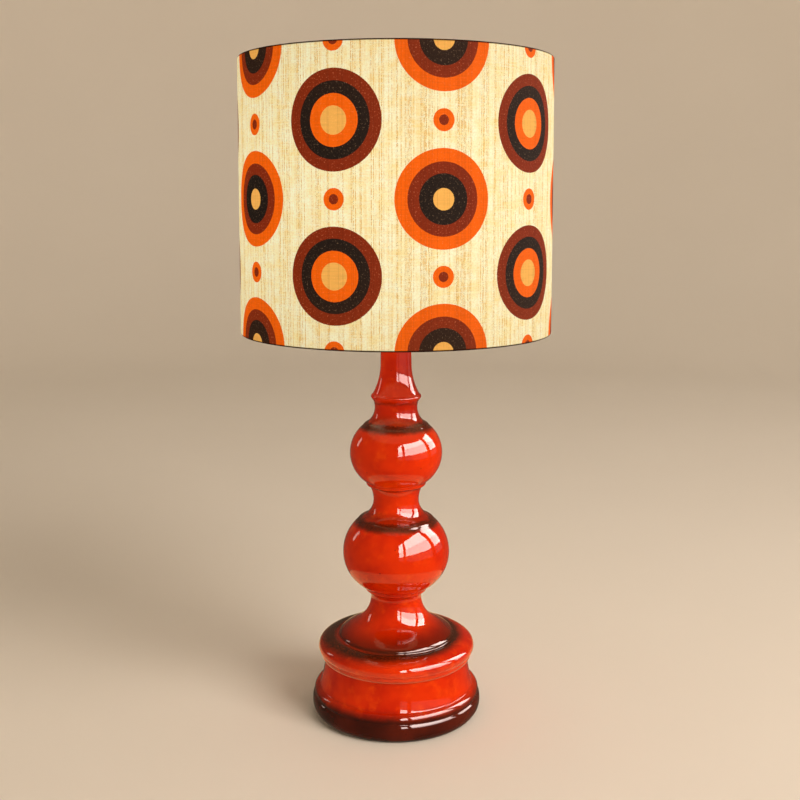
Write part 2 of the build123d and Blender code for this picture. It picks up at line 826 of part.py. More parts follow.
with BuildPart() as upper_shade_ring:
    with BuildSketch(Plane.XY.offset(z_upper_shade_ring)):
        Circle(shade_ring_radius)
        with PolarLocations(shade_ring_radius, ring_notches):
            Circle(ring_notch_radius, mode=Mode.SUBTRACT)
    extrude(amount=ring_flange_height)
    with BuildSketch(Plane.XY.offset(z_upper_shade_ring + ring_flange_height)):
        Circle(ring_hub_radius)
    extrude(amount=upper_ring_height - ring_flange_height)
    with Locations((0, 0, z_upper_shade_ring + upper_ring_height)):
        Hole(ring_bore_radius)
write(upper_shade_ring, "upper_shade_ring")


def bulb_solid(inset, foot_level):
    """Revolves the bulb's outline, drawn in by the inset, down to the level of its foot."""
    ball = bulb_radius - inset
    angle = radians(bulb_shoulder_angle)
    shoulder = (ball * cos(angle), z_bulb_centre - ball * sin(angle))
    cone = (bulb_cone_radius - inset, z_contact + bulb_cone_level)
    neck = (bulb_seat_radius - inset, z_bulb_cap + bulb_cap_height)
    with BuildPart() as glass:
        with BuildSketch(Plane.XZ):
            with BuildLine():
                CenterArc((0, z_bulb_centre), ball, -bulb_shoulder_angle, bulb_shoulder_angle + 90)
                TangentArc(shoulder, cone, tangent=(-sin(angle), -cos(angle)))
                Polyline(
                    cone,
                    neck,
                    (neck[0], foot_level),
                    (0, foot_level),
                    (0, z_bulb_centre + ball),
                )
            make_face()
        revolve(axis=Axis.Z)
    return glass.part


# Bulb: blown glass in a brass cap, with its insulator and centre contact
with BuildPart() as bulb_glass:
    add(bulb_solid(0, z_bulb_seat))
    add(bulb_solid(bulb_wall, z_bulb_seat - bulb_wall), mode=Mode.SUBTRACT)
write(bulb_glass, "bulb_glass")

with BuildPart() as bulb_cap:
    with BuildSketch(Plane.XZ):
        with BuildLine():
            Polyline(
                (bulb_cap_radius - bulb_cap_rim, z_bulb_cap),
                (bulb_cap_radius, z_bulb_cap),
                (bulb_cap_radius, z_bulb_cap + bulb_cap_height),
                (bulb_cap_radius - bulb_cap_wall, z_bulb_cap + bulb_cap_height),
                (bulb_cap_radius - bulb_cap_wall, z_bulb_cap + bulb_cap_wall),
                (bulb_cap_radius - bulb_cap_rim, z_bulb_cap + bulb_cap_wall),
                close=True,
            )
        make_face()
    revolve(axis=Axis.Z)
write(bulb_cap, "bulb_cap")

with BuildPart() as bulb_insulator:
    with BuildSketch(Plane.XZ):
        plug_radius = bulb_cap_radius - bulb_cap_rim - thread_gap
        with BuildLine():
            Polyline(
                (0, z_insulator),
                (contact_radius, z_insulator),
                (plug_radius, z_bulb_cap),
                (plug_radius, z_bulb_cap + insulator_plug),
                (0, z_bulb_cap + insulator_plug),
                close=True,
            )
        make_face()
    revolve(axis=Axis.Z)
write(bulb_insulator, "bulb_insulator")

with BuildPart() as bulb_contact:
    with BuildSketch(Plane.XY.offset(z_contact)):
        Circle(contact_radius)
    extrude(amount=contact_height)
write(bulb_contact, "bulb_contact")

# Glass stem in the bulb's neck, flared at the foot where it is fused to the glass
with BuildPart() as bulb_stem:
    with BuildSketch(Plane.XZ):
        flare_radius = bulb_seat_radius - bulb_wall - thread_gap
        with BuildLine():
            Polyline(
                (0, z_bulb_seat),
                (flare_radius, z_bulb_seat),
                (flare_radius, z_bulb_seat + bulb_wall),
                (stem_tube_radius, z_bulb_seat + stem_flare_height),
                (stem_tube_radius, z_stem_top),
                (0, z_stem_top),
                close=True,
            )
        make_face()
    revolve(axis=Axis.Z)
write(bulb_stem, "bulb_stem")

# Lead wires from the stem, spread apart to hold the filament between their tips
z_lead_tip = z_stem_top + lead_height
with BuildPart() as lead_wires:
    for side in (1, -1):
        with BuildLine(Plane.XZ) as lead_path:
            Polyline(
                (side * lead_start, z_stem_top),
                (side * lead_start, z_stem_top + lead_height / 4),
                (side * lead_spread, z_stem_top + lead_height * 3 / 4),
                (side * lead_spread, z_lead_tip),
            )
        with BuildSketch(Plane.XY.offset(z_stem_top)):
            with Locations((side * lead_start, 0)):
                Circle(lead_radius)
        sweep(path=lead_path.line, transition=Transition.RIGHT)
write(lead_wires, "lead_wires")

with BuildPart() as filament:
    filament_end = lead_spread - lead_radius - 2 * seat_gap
    z_filament = z_lead_tip - filament_below_tip
    with BuildLine(Plane.XZ) as filament_path:
        ThreePointArc(
            (-filament_end, z_filament), (0, z_filament + filament_rise), (filament_end, z_filament)
        )
    with BuildSketch(Plane(filament_path.line @ 0, z_dir=filament_path.line % 0)):
        Circle(filament_radius)
    sweep(path=filament_path.line)
write(filament, "filament")

# Wires in the shade's two rims
for name, ring_radius, level in (
    ("bottom_wire", bottom_wire_radius, z_bottom_wire),
    ("top_wire", top_wire_radius, z_top_wire),
):
    with BuildPart() as rim_wire:
        with BuildSketch(Plane.XZ):
            with Locations((ring_radius, level)):
                Circle(wire_radius)
        revolve(axis=Axis.Z)
    write(rim_wire, name)

# Fitter plate and the arms that carry the drum, each arm welded at both ends
write_ring("fitter_plate", fitter_radius, sleeve_radius + fitter_hole_gap, z_fitter, fitter_thickness)

arm_start = (fitter_radius - fitter_grip, z_fitter + fitter_thickness + weld_gap + arm_radius)
arm_bend = (arm_start[0] + arm_flat_length, arm_start[1])
arm_aim = Vector(bottom_wire_radius, z_bottom_wire) - Vector(*arm_bend)
arm_reach = arm_aim.length - wire_radius - weld_gap
arm_end = Vector(*arm_bend) + arm_aim.normalized() * arm_reach


def arm_plane(number):
    """Upright plane through the lamp's axis in which one arm lies, its X pointing outwards."""
    angle = radians(arm_first_angle + number * 360 / arm_count)
    return Plane((0, 0, 0), x_dir=(cos(angle), sin(angle), 0), z_dir=(sin(angle), -cos(angle), 0))


arm_paths = []
for number in range(arm_count):
    with BuildLine(arm_plane(number)) as arm_path:
        FilletPolyline(arm_start, arm_bend, (arm_end.X, arm_end.Y), radius=arm_bend_radius)
    arm_paths.append(arm_path.line)
    with BuildPart() as spider_arm:
        with BuildSketch(Plane(arm_path.line @ 0, z_dir=arm_path.line % 0)):
            Circle(arm_radius)
        sweep(path=arm_path.line)
    write(spider_arm, f"spider_arm_{number + 1}")


rim_to_rim = Vector(top_wire_radius, z_top_wire) - Vector(bottom_wire_radius, z_bottom_wire)
rim_up = rim_to_rim.normalized()
rim_out = Vector(rim_up.Y, -rim_up.X)


def drum_band(lower_end, upper_end, outer_offset, thickness):
    """Corners of a band beside the line that joins the two wires, from one distance up that
    line to another, its outer face at an offset from the line."""
    corners = []
    for distance, offset in (
        (lower_end, outer_offset),
        (upper_end, outer_offset),
        (upper_end, outer_offset - thickness),
        (lower_end, outer_offset - thickness),
    ):
        corner = Vector(bottom_wire_radius, z_bottom_wire) + rim_up * distance + rim_out * offset
        corners.append((corner.X, corner.Y))
    return corners


# Printed cloth, rolled over both wires and notched at the bottom for the arms
with BuildPart() as shade_cloth:
    with BuildSketch(Plane.XZ):
        with BuildLine():
            Polyline(*drum_band(0, rim_to_rim.length, roll_radius, cloth_thickness), close=True)
        make_face()
        with Locations((bottom_wire_radius, z_bottom_wire), (top_wire_radius, z_top_wire)):
            RegularPolygon(roll_radius, roll_folds)
            RegularPolygon(wire_radius + thread_gap, roll_folds, major_radius=False, mode=Mode.SUBTRACT)
    revolve(axis=Axis.Z)
    for path in arm_paths:
        with BuildSketch(Plane(path @ 1, z_dir=path % 1)):
            Circle(arm_radius + seat_gap)
        extrude(amount=-2 * roll_radius, mode=Mode.SUBTRACT)
write(shade_cloth, "shade_cloth")

# Stiff liner bonded inside the cloth, from one roll to the other
with BuildPart() as shade_liner:
    liner_inset = roll_radius + seat_gap
    with BuildSketch(Plane.XZ):
        with BuildLine():
            Polyline(
                *drum_band(
                    liner_inset,
                    rim_to_rim.length - liner_inset,
                    roll_radius - cloth_thickness - bond_gap,
                    liner_thickness,
                ),
                close=True,
            )
        make_face()
    revolve(axis=Axis.Z)
write(shade_liner, "shade_liner")
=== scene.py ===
"""Glazed ceramic table lamp with a lit drum shade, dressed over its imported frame.

Metres, +Z up, the lamp's axis on Z and the floor at z = 0. The sections follow the order in
which the lamp is put together: studio, body, foot, neck, lampholder, bulb and shade.
"""

from math import cos, pi, radians, sin, tau

import bmesh
import bpy
import numpy as np
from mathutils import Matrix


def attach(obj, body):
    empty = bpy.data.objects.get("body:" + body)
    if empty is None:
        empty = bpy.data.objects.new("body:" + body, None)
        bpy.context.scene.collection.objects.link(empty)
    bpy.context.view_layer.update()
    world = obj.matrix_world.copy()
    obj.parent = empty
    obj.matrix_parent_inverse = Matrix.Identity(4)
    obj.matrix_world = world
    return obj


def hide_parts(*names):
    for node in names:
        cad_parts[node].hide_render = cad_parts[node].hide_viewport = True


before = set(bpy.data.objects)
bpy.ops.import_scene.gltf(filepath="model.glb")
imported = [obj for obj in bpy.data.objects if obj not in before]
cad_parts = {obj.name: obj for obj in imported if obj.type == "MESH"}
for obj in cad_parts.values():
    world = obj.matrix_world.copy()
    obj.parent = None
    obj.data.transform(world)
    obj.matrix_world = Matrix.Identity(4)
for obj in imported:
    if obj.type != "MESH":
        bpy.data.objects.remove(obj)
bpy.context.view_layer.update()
mm = 0.001

# The studio: the camera of the photograph, a pale paper sheet that sweeps up behind the lamp,
# soft lamps for the light itself, and tall window panes that show only in the glaze's gloss.
scene = bpy.context.scene
scene.view_settings.view_transform = "Standard"
camera = bpy.data.objects.new("camera", bpy.data.cameras.new("camera"))
camera.data.lens = 49.5
camera.data.clip_start = 0.02
camera.location = (0.0039, -1.0687, 0.5201)
look_down = 10.46
camera.rotation_euler = (radians(90 - look_down), 0, 0)
scene.collection.objects.link(camera)
scene.camera = camera


def linear(red, green, blue):
    """A colour as a screen shows it, 0 to 255, in the light values that a shader takes."""
    share = np.array([red, green, blue]) / 255
    low = share / 12.92
    return (*np.where(share <= 0.04045, low, ((share + 0.055) / 1.055) ** 2.4).tolist(), 1.0)


def fill(tree, node, inputs):
    """Fills a node's inputs, by name or number, with values or with links from other nodes."""
    for socket, value in dict(inputs).items():
        if isinstance(value, bpy.types.NodeSocket):
            tree.links.new(value, node.inputs[socket])
        else:
            node.inputs[socket].default_value = value
    return node


def put(tree, kind, inputs=(), **settings):
    """Adds a node, sets its properties, and fills its inputs."""
    node = tree.nodes.new("ShaderNode" + kind)
    for name, value in settings.items():
        setattr(node, name, value)
    return fill(tree, node, inputs)


def feed(finish, **sockets):
    """Fills the surface shader's sockets, named with underscores for spaces."""
    tree = finish.node_tree
    fill(tree, tree.nodes["Principled BSDF"],
         {socket.replace("_", " "): value for socket, value in sockets.items()})


def new_finish(name, **constants):
    """A material with one surface shader, and what is the same all over it."""
    finish = bpy.data.materials.new(name)
    finish.use_nodes = True
    feed(finish, **constants)
    return finish, finish.node_tree


def tree_of(*values):
    """The node tree that the sockets among some values belong to."""
    return next(value.id_data for value in values if isinstance(value, bpy.types.NodeSocket))


def noise(place, scale, detail=2.0, roughness=0.5):
    """Smooth noise, near 0.5 on average, with so many features to a metre."""
    inputs = {"Vector": place, "Scale": scale, "Detail": detail, "Roughness": roughness}
    return put(tree_of(place), "TexNoise", inputs).outputs[0]


def mixed(*values):
    """By a share, a colour between two others. Three numbers are a colour as a screen shows it."""
    values = [linear(*value) if isinstance(value, tuple) else value for value in values]
    inputs = dict(zip((0, 6, 7), values))
    return put(tree_of(*values), "Mix", inputs, data_type="RGBA").outputs[2]


def own_place(tree):
    """The place on a piece, in metres, which moves with the piece."""
    return put(tree, "TexCoord").outputs["Object"]


def new_piece(name, points, faces):
    """A mesh object at the origin, from an array of points and a list of faces."""
    mesh = bpy.data.meshes.new(name)
    mesh.from_pydata(points.reshape(-1, 3).tolist(), [], faces)
    piece = bpy.data.objects.new(name, mesh)
    scene.collection.objects.link(piece)
    return piece


def ring_quads(rows, columns):
    """Quads between rows of points, each row a ring: the last column joins the first."""
    across = np.arange(columns)
    after = (across + 1) % columns
    up = np.arange(rows - 1)[:, None] * columns
    quads = [up + across, up + after, up + columns + after, up + columns + across]
    return np.stack(quads, axis=-1).reshape(-1, 4).tolist()


def whole_turn(steps):
    """Angles in even steps all the way round."""
    return np.linspace(0, tau, steps, endpoint=False)


def about_z(radius, level, angle):
    """Points at each radius, level and angle: x and y are the radius times the angle's cosine
    and sine, and z is the level."""
    return np.stack([radius * np.cos(angle), radius * np.sin(angle), level + 0 * angle], axis=-1)


# the paper bowl: level out to 2.3 m, a quarter circle of 1.2 m, then a wall up to 4.2 m, all
# turned about the lamp, so that every side has the same ground behind it
ground_reach, sweep, wall_top, bowl_columns = 2.3, 1.2, 4.2, 96
bend = np.linspace(0, pi / 2, 14)
bowl_radius = np.concatenate([np.geomspace(0.05, ground_reach, 16)[:-1],
                              ground_reach + sweep * np.sin(bend), [ground_reach + sweep]])
bowl_level = np.concatenate([np.zeros(15), sweep - sweep * np.cos(bend), [wall_top]])
bowl_points = about_z(bowl_radius[:, None], bowl_level[:, None], whole_turn(bowl_columns))
bowl_faces = [quad[::-1] for quad in ring_quads(len(bowl_level), bowl_columns)]
floor = new_piece("floor", bowl_points, bowl_faces + [list(range(bowl_columns))])
floor.data.shade_smooth()
paper, tree = new_finish("pale paper", Roughness=0.85, Specular_IOR_Level=0.2)
paper_tone = noise(own_place(tree), 1.7, 4)
feed(paper, Base_Color=mixed(paper_tone, (236, 229, 218), (241, 235, 225)))
# seen from below the floor is clear, so that the underside shows
one_sided = put(tree, "MixShader", {
    0: put(tree, "NewGeometry").outputs["Backfacing"],
    1: tree.nodes["Principled BSDF"].outputs[0], 2: put(tree, "BsdfTransparent").outputs[0]})
tree.links.new(one_sided.outputs[0], tree.nodes["Material Output"].inputs[0])
floor.data.materials.append(paper)
# gloss shows the dim air of the world and the panes, not the paper, so the glaze stays deep
floor.visible_glossy = False

scene.world = bpy.data.worlds.new("studio air")
scene.world.use_nodes = True
air = scene.world.node_tree.nodes["Background"]
air.inputs[0].default_value = linear(222, 202, 168)
air.inputs[1].default_value = 0.18


def area_lamp(name, place, aim, size, power, colour, gloss, shape="RECTANGLE"):
    """A flat lamp at a place, turned to its aim, that shows in matt surfaces or in gloss."""
    lamp = bpy.data.objects.new(name, bpy.data.lights.new(name, "AREA"))
    lamp.data.shape = shape
    lamp.data.size, lamp.data.size_y = size
    lamp.data.energy = power
    lamp.data.color = colour[:3]
    lamp.location = place
    reach = np.array(aim) - np.array(place)
    lamp.rotation_euler = (
        np.arctan2(np.hypot(reach[0], reach[1]), -reach[2]), 0, np.arctan2(-reach[0], reach[1]))
    lamp.visible_camera = False
    lamp.visible_diffuse, lamp.visible_glossy = not gloss, gloss
    scene.collection.objects.link(lamp)


warm_white = linear(255, 242, 228)
area_lamp("key", (1.85, -1.55, 2.1), (0, 0, 0.3), (1.6, 1.6), 68, warm_white, False)
area_lamp("top", (0, 0.5, 3.2), (0, 0, 0.3), (2.4, 2.4), 13, warm_white, False)
# three panes stand side by side 1.6 m from the lamp, facing it from the right of the camera;
# each is bright above, less bright at the height of the balls, and dim down to the floor
pane_white = linear(255, 230, 222)
pane_reach, facing = 1.6, radians(63)
window, along = np.array([sin(facing), -cos(facing), 0]), np.array([cos(facing), sin(facing), 0])
for name, start, end in (("left", -2.5, -1.72), ("wide", -1.42, 0.62), ("right", 1.0, 2.4)):
    for part, low, high, strength in (("upper", 1.15, 2.32, 19.0), ("middle", 0.50, 1.13, 13.0),
                                      ("lower", 0.02, 0.48, 0.5)):
        place = (pane_reach * window + (start + end) / 2 * along
                 + np.array([0, 0, (low + high) / 2]))
        area_lamp(f"pane_{name}_{part}", place, place - window, (end - start, high - low),
                  strength * pi * (end - start) * (high - low), pane_white, True)
area_lamp("strip", (-1.44, 0.70, 0.7), (0, 0, 0.3), (0.20, 0.5), 1.0, warm_white, True)
# the lit table round the foot, which shows only in the gloss under each ball; it lies 58 mm up,
# so that the foot and the waist stay dark
table_glow, table_width, table_area = linear(255, 216, 150), 0.36, 0.102
area_lamp("table", (0, 0, 0.058), (0, 0, 1), (table_width, table_width), 0.65 * pi * table_area,
          table_glow, True, "DISK")

# The ceramic body: one slip-cast baluster, its outline cut by a turner's hand into the mould,
# glazed red-orange by dipping, with brown-black bands sprayed round the balls and the shoulder
# before firing, and painted shade in the creases under the lips, the collar and the shoulder.


def arc_from(start, heading, end, steps=24):
    """Points on the circle that leaves the start in a heading and passes through the end: the
    angle turned is twice the angle between the heading and the chord."""
    start, chord = np.array(start, float), np.subtract(end, start)
    heading = np.array(heading) / np.hypot(*heading)
    left = np.array([-heading[1], heading[0]])
    half = np.arctan2(chord @ left, chord @ heading)
    if abs(half) < 1e-6:
        return start + np.linspace(0, 1, steps)[:, None] * chord
    radius = np.hypot(*chord) / (2 * np.sin(half))
    turn = np.linspace(0, 2 * half, steps)[:, None]
    return start + radius * (np.sin(turn) * heading + (1 - np.cos(turn)) * left)


def arc_through(start, crest, end, steps=24):
    """Points on the circle through three points: its centre is as far from each of them."""
    start, crest, end = (np.array(point, float) for point in (start, crest, end))
    sides = 2 * np.array([crest - start, end - start])
    centre = np.linalg.solve(sides, [crest @ crest - start @ start, end @ end - start @ start])
    radial = start - centre
    heading = np.array([-radial[1], radial[0]])
    return arc_from(start, heading * np.sign(heading @ (crest - start)), end, steps)


def way_along(line):
    """How far along a line each of its points is."""
    return np.append(0, np.cumsum(np.hypot(*np.diff(line, axis=0).T)))


def even_out(outline, spacing):
    """The same outline with its points an even distance apart."""
    outline = outline[np.append(True, np.hypot(*np.diff(outline, axis=0).T) > 1e-9)]
    run = way_along(outline)
    marks = np.linspace(0, run[-1], int(run[-1] / spacing) + 1)
    return np.stack([np.interp(marks, run, outline[:, axis]) for axis in (0, 1)], axis=-1)


def gather(outline, count, reach, turn):
    """Fewer points of an outline, closer together where it turns: each step is one share of
    the way, counted in reaches, plus the turning, counted in turns."""
    step = np.diff(outline, axis=0)
    way = np.unwrap(np.arctan2(step[:, 1], step[:, 0]))
    bending = np.append(0, np.abs(np.diff(way)))
    weight = np.append(0, np.cumsum(np.hypot(*step.T) / reach + bending / turn))
    marks = np.interp(np.linspace(0, weight[-1], count), weight, np.arange(len(outline)))
    return outline[np.unique(np.round(marks).astype(int))]


def turned(outline, around):
    """Rows of points from an outline of radius and height, each row a circle about Z."""
    return about_z(outline[:, :1], outline[:, 1:], whole_turn(around))


def smooth(piece, sharp):
    """Smooth shading, with a hard edge wherever two faces meet at more than so many degrees."""
    piece.data.shade_smooth()
    piece.data.set_sharp_from_angle(angle=radians(sharp))


def skin(name, rows, loop=True, sharp=38):
    """A closed skin over rows of points, each row a ring. With loop the last row joins the
    first, and otherwise each end row closes on a point at its middle."""
    count, columns = rows.shape[:2]
    points = rows.reshape(-1, 3)
    if loop:
        faces = (np.array(ring_quads(count + 1, columns)) % len(points)).tolist()
    else:
        faces = ring_quads(count, columns)
        low, high = (np.full(columns, len(points) + end) for end in (0, 1))
        column, last = np.arange(columns), (count - 1) * columns
        after = (column + 1) % columns
        fans = [low, after, column, high, last + column, last + after]
        faces += np.stack(fans, axis=-1).reshape(-1, 3).tolist()
        points = np.concatenate([points, rows[[0, -1]].mean(1)])
    piece = new_piece(name, points, faces)
    shell = bmesh.new()
    shell.from_mesh(piece.data)
    bmesh.ops.recalc_face_normals(shell, faces=shell.faces)
    shell.to_mesh(piece.data)
    shell.free()
    smooth(piece, sharp)
    return piece


def cut(piece, cutter, sharp=38):
    """Takes the cutter out of a piece for good, and removes it."""
    hole = piece.modifiers.new("hole", "BOOLEAN")
    hole.operation, hole.solver, hole.object = "DIFFERENCE", "EXACT", cutter
    settled = bpy.data.meshes.new_from_object(
        piece.evaluated_get(bpy.context.evaluated_depsgraph_get()))
    piece.modifiers.clear()
    piece.data = settled
    smooth(piece, sharp)
    bpy.data.objects.remove(cutter)


def dress(piece, finish, body, node):
    """Gives a piece its material, the body it rides on and the node it replaces."""
    piece.data.materials.clear()
    piece.data.materials.append(finish)
    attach(piece, body)
    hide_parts(node)


def recoat(finish, *names):
    """Gives nodes whose shape is right a better material."""
    for name in names:
        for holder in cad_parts[name].material_slots:
            holder.material = finish


# outline in millimetres, from the foot's rim up to the top of the neck
nose = arc_from((79.4, 69), (0, 1), (76, 75.4))
bell = arc_from((25.6, 121), (0, -1), (42.3, 93.3))
skirt = arc_from((42.3, 93.3), bell[-1] - bell[-2], (55.2, 85.1))
foot_side = arc_from((86, 11), (0, 1), (85.8, 15.4), 8)
outline = np.concatenate([
    # foot, its rounded rim, and the waist that hollows in over it
    arc_from((86, 11), (0, -1), (82, 1.5))[::-1],
    foot_side,
    arc_from((85.8, 15.4), foot_side[-1] - foot_side[-2], (83.5, 19.3), 12),
    arc_through((83.5, 19.3), (83.5, 25), (78.4, 28.7)),
    arc_from((73.1, 57.5), (0, -1), (78.4, 28.7))[::-1],
    arc_through((73.1, 57.5), (76.2, 59.55), (76.2, 63.2)),
    arc_from((79.4, 69), (0, -1), (76.2, 63.2))[::-1],
    nose,
    # shoulder, groove, and the bell with its edge rolled over
    arc_from((76, 75.4), nose[-1] - nose[-2], (60.6, 80.2)),
    arc_through((60.6, 80.2), (58.6, 80.3), (58, 82.3)),
    arc_from((55.2, 85.1), skirt[-1] - skirt[-2], (58, 82.3), 12)[::-1],
    skirt[::-1],
    bell[::-1],
    # lower ball with the lip under it and the bead above it
    arc_from((25.6, 121), (0, 1), (28, 127.4)),
    arc_through((28, 127.4), (30.64, 128.19), (31, 131)),
    arc_from((53.6, 168), (0, -1), (31, 131), 40)[::-1],
    arc_from((53.6, 168), (0, 1), (39, 200.7), 40),
    arc_through((39, 200.7), (37.12, 202.97), (34.5, 204.3)),
    arc_from((22.7, 222), (0, -1), (34.5, 204.3))[::-1],
    # upper ball, the same way
    arc_from((22.7, 222), (0, 1), (26.7, 237)),
    arc_through((26.7, 237), (29.34, 237.79), (29.7, 240.6)),
    arc_from((46, 270.5), (0, -1), (29.7, 240.6), 40)[::-1],
    arc_from((46, 270.5), (0, 1), (33, 297.6), 40),
    arc_through((33, 297.6), (31.12, 299.87), (28.5, 301.2)),
    arc_from((21.1, 316), (0, -1), (28.5, 301.2))[::-1],
    # collar and stem
    arc_from((21.1, 316), (0, 1), (22.2, 322.54)),
    arc_through((24, 325.1), (24.95, 327.2), (23.2, 329.3), 12),
    arc_from((15.35, 359), (0, -1), (23.2, 329.3))[::-1],
    [(14.7, 395.2), (14.4, 395.8), (13.9, 396)],
])
# the glaze rounds every crease: the outline, in steps of 0.1 mm, is averaged with a bell curve
# 0.55 mm wide
fine = even_out(outline, 0.1)
bell_reach = 20
bell_curve = np.exp(-0.5 * (np.arange(-bell_reach, bell_reach + 1) / 5.5) ** 2)
bell_curve /= bell_curve.sum()
fine = np.stack([np.convolve(np.pad(fine[:, axis], bell_reach, mode="edge"), bell_curve, "valid")
                 for axis in (0, 1)], axis=-1)
outside = gather(fine, 330, 3.2, radians(5))
inside = np.concatenate([
    [(10.2, 396.0), (10.2, 354.0), (14.1, 316.0), (14.1, 301.2)],
    arc_through((14.1, 301.2), (39.0, 270.5), (15.7, 237.0), 14)[1:],
    [(15.7, 204.3)],
    arc_through((15.7, 204.3), (46.6, 168.0), (18.6, 127.4), 14)[1:],
    arc_from((18.6, 121.0), (0, -1), (36.7, 86.3), 6),
    [(60.6, 73.2)],
    arc_through((60.6, 73.2), (72.4, 67.5), (66.1, 57.5), 6)[1:],
    [(72.0, 28.8)],
    arc_through((72.0, 28.8), (78.0, 13.0), (71.5, 2.7), 7)[1:],
    [(76.3, 2.7), (76.3, 1.5)],
])
body_columns = 236
body_rows = turned(np.concatenate([outside, inside]) * mm, body_columns)
# cast by hand: above its foot each ring is out of round by a tenth of a millimetre, and the
# longer side turns with height
angle, height = whole_turn(body_columns), body_rows[:, :, 2]
wobble = 1 + 0.0016 * np.cos(2 * angle + 9 * height) + 0.0008 * np.cos(3 * angle - 14 * height)
body_rows[:, :, :2] *= np.where(height > 4 * mm, wobble, 1)[:, :, None]
ceramic = skin("glazed_body", body_rows, sharp=50)


def along_inlet(outline, around):
    """Rows from an outline of radius and distance along Y, each row a circle about the middle
    of the cord's hole, which runs front to back 13 mm up."""
    return turned(outline, around)[..., [1, 2, 0]] + (0, 0, 13 * mm)


drill = np.array([(8.1, 95), (8.1, 84.8), (5.15, 84.8), (5.15, 66)]) * mm
cut(ceramic, skin("drill", along_inlet(drill, 48), loop=False), sharp=50)


def reckon(operation, *values, clamp=False):
    """The result of one sum on numbers or sockets."""
    return put(tree_of(*values), "Math", enumerate(values), operation=operation,
               use_clamp=clamp).outputs[0]


def times(first, second):
    """The product of two numbers or sockets."""
    return reckon("MULTIPLY", first, second)


def scaled(value, factor, addend, clamp=False):
    """A value times a factor, plus an addend."""
    return reckon("MULTIPLY_ADD", value, factor, addend, clamp=clamp)


def eased(value, low, high):
    """Goes smoothly from 0 to 1 as a value goes from low to high."""
    inputs = {0: value, 1: low, 2: high}
    return put(tree_of(value), "MapRange", inputs, interpolation_type="SMOOTHSTEP").outputs[0]


def emboss(finish, height):
    """Shades the surface as if it were raised by a height in metres."""
    bump = put(finish.node_tree, "Bump", {"Height": height, "Distance": 1.0})
    feed(finish, Normal=bump.outputs[0])


def new_group(name, inputs, output):
    """An empty shader group with number inputs at their usual values, and one number output."""
    tree = bpy.data.node_groups.new(name, "ShaderNodeTree")
    for socket, value in inputs.items():
        tree.interface.new_socket(
            socket, in_out="INPUT", socket_type="NodeSocketFloat").default_value = value
    tree.interface.new_socket(output, in_out="OUTPUT", socket_type="NodeSocketFloat")
    return tree, tree.nodes.new("NodeGroupInput").outputs, tree.nodes.new("NodeGroupOutput").inputs


def place_group(tree, group, **inputs):
    """The output of a group that is placed in a tree, with its inputs filled."""
    return put(tree, "Group", inputs, node_tree=group).outputs[0]


# a band of glaze or of painted shade: 1 between a low and a high level, fading over a feather's
# width at each edge
band_and_shade_mask, given, result = new_group(
    "band and shade mask", {"Level": 0, "Low": 0, "High": 1, "Feather": 0.002}, "Mask")
lower_edge, upper_edge = (
    eased(given["Level"], reckon(clear, given[edge], given["Feather"]),
          reckon(full, given[edge], given["Feather"]))
    for edge, clear, full in (("Low", "SUBTRACT", "ADD"), ("High", "ADD", "SUBTRACT")))
band_and_shade_mask.links.new(times(lower_edge, upper_edge), result["Mask"])

glaze, tree = new_finish("red glaze", IOR=1.52)
place = own_place(tree)
broad = noise(place, 21, 3, 0.55)
cloud = noise(place, 64, 4, 0.6)
grain = noise(place, 620, 5, 0.65)
spray = noise(place, 1900, 2)
aside, _, level = put(tree, "SeparateXYZ", {0: place}).outputs
flat_place = put(tree, "VectorMath", {0: place, 1: (1, 1, 0)}, operation="MULTIPLY").outputs[0]
radius = put(tree, "VectorMath", {0: flat_place}, operation="LENGTH").outputs["Value"]
# the edge of a band wanders by up to 2.6 mm, and is spattered over about 1.7 mm
wander = reckon("ADD", scaled(cloud, 5.2 * mm, -2.6 * mm), scaled(grain, 3.4 * mm, -1.7 * mm))
ragged = reckon("ADD", level, wander)
# the shoulder's band reaches further out on the left
ragged_radius = scaled(wander, 0.9, scaled(aside, 0.08, radius))
dark = times(
    place_group(tree, band_and_shade_mask, Level=ragged_radius, Low=54 * mm, High=71.5 * mm,
                Feather=6.5 * mm),
    place_group(tree, band_and_shade_mask, Level=level, Low=72 * mm, High=84.2 * mm, Feather=1.2 * mm))
# the other bands, by height in millimetres, feather and strength: those at 197.8, 295.2, 203.0
# and 300.5 mm are sprayed glaze on and above each ball's top, and the thin ones at 126.2, 235.4,
# 320.6 and 57.8 mm are painted shade in the creases under each ball's lip, the collar and the
# shoulder
for low, high, feather, strength in (
        (197.8, 205.6, 2.2, 0.94), (295.2, 303.4, 2.4, 0.94), (126.2, 127.6, 0.9, 0.5),
        (203.0, 211.0, 5.0, 0.60), (300.5, 308.5, 5.0, 0.55), (235.4, 237.4, 0.9, 0.6),
        (320.6, 323.2, 1.2, 0.4), (57.8, 60.4, 1.2, 0.35)):
    band = place_group(tree, band_and_shade_mask, Level=ragged, Low=low * mm, High=high * mm,
                       Feather=feather * mm)
    dark = reckon("MAXIMUM", dark, times(band, strength))
foot_dark = eased(ragged, 33.0 * mm, 21.0 * mm)
red = mixed(eased(broad, 0.34, 0.62), (210, 33, 0), (237, 54, 0))
red = mixed(eased(cloud, 0.50, 0.86), red, (250, 82, 4))
speck = eased(grain, 0.38, 0.66)
brown = mixed(speck, (60, 24, 9), (96, 36, 12))
foot_brown = mixed(eased(broad, 0.3, 0.7), (62, 17, 8), (94, 28, 13))
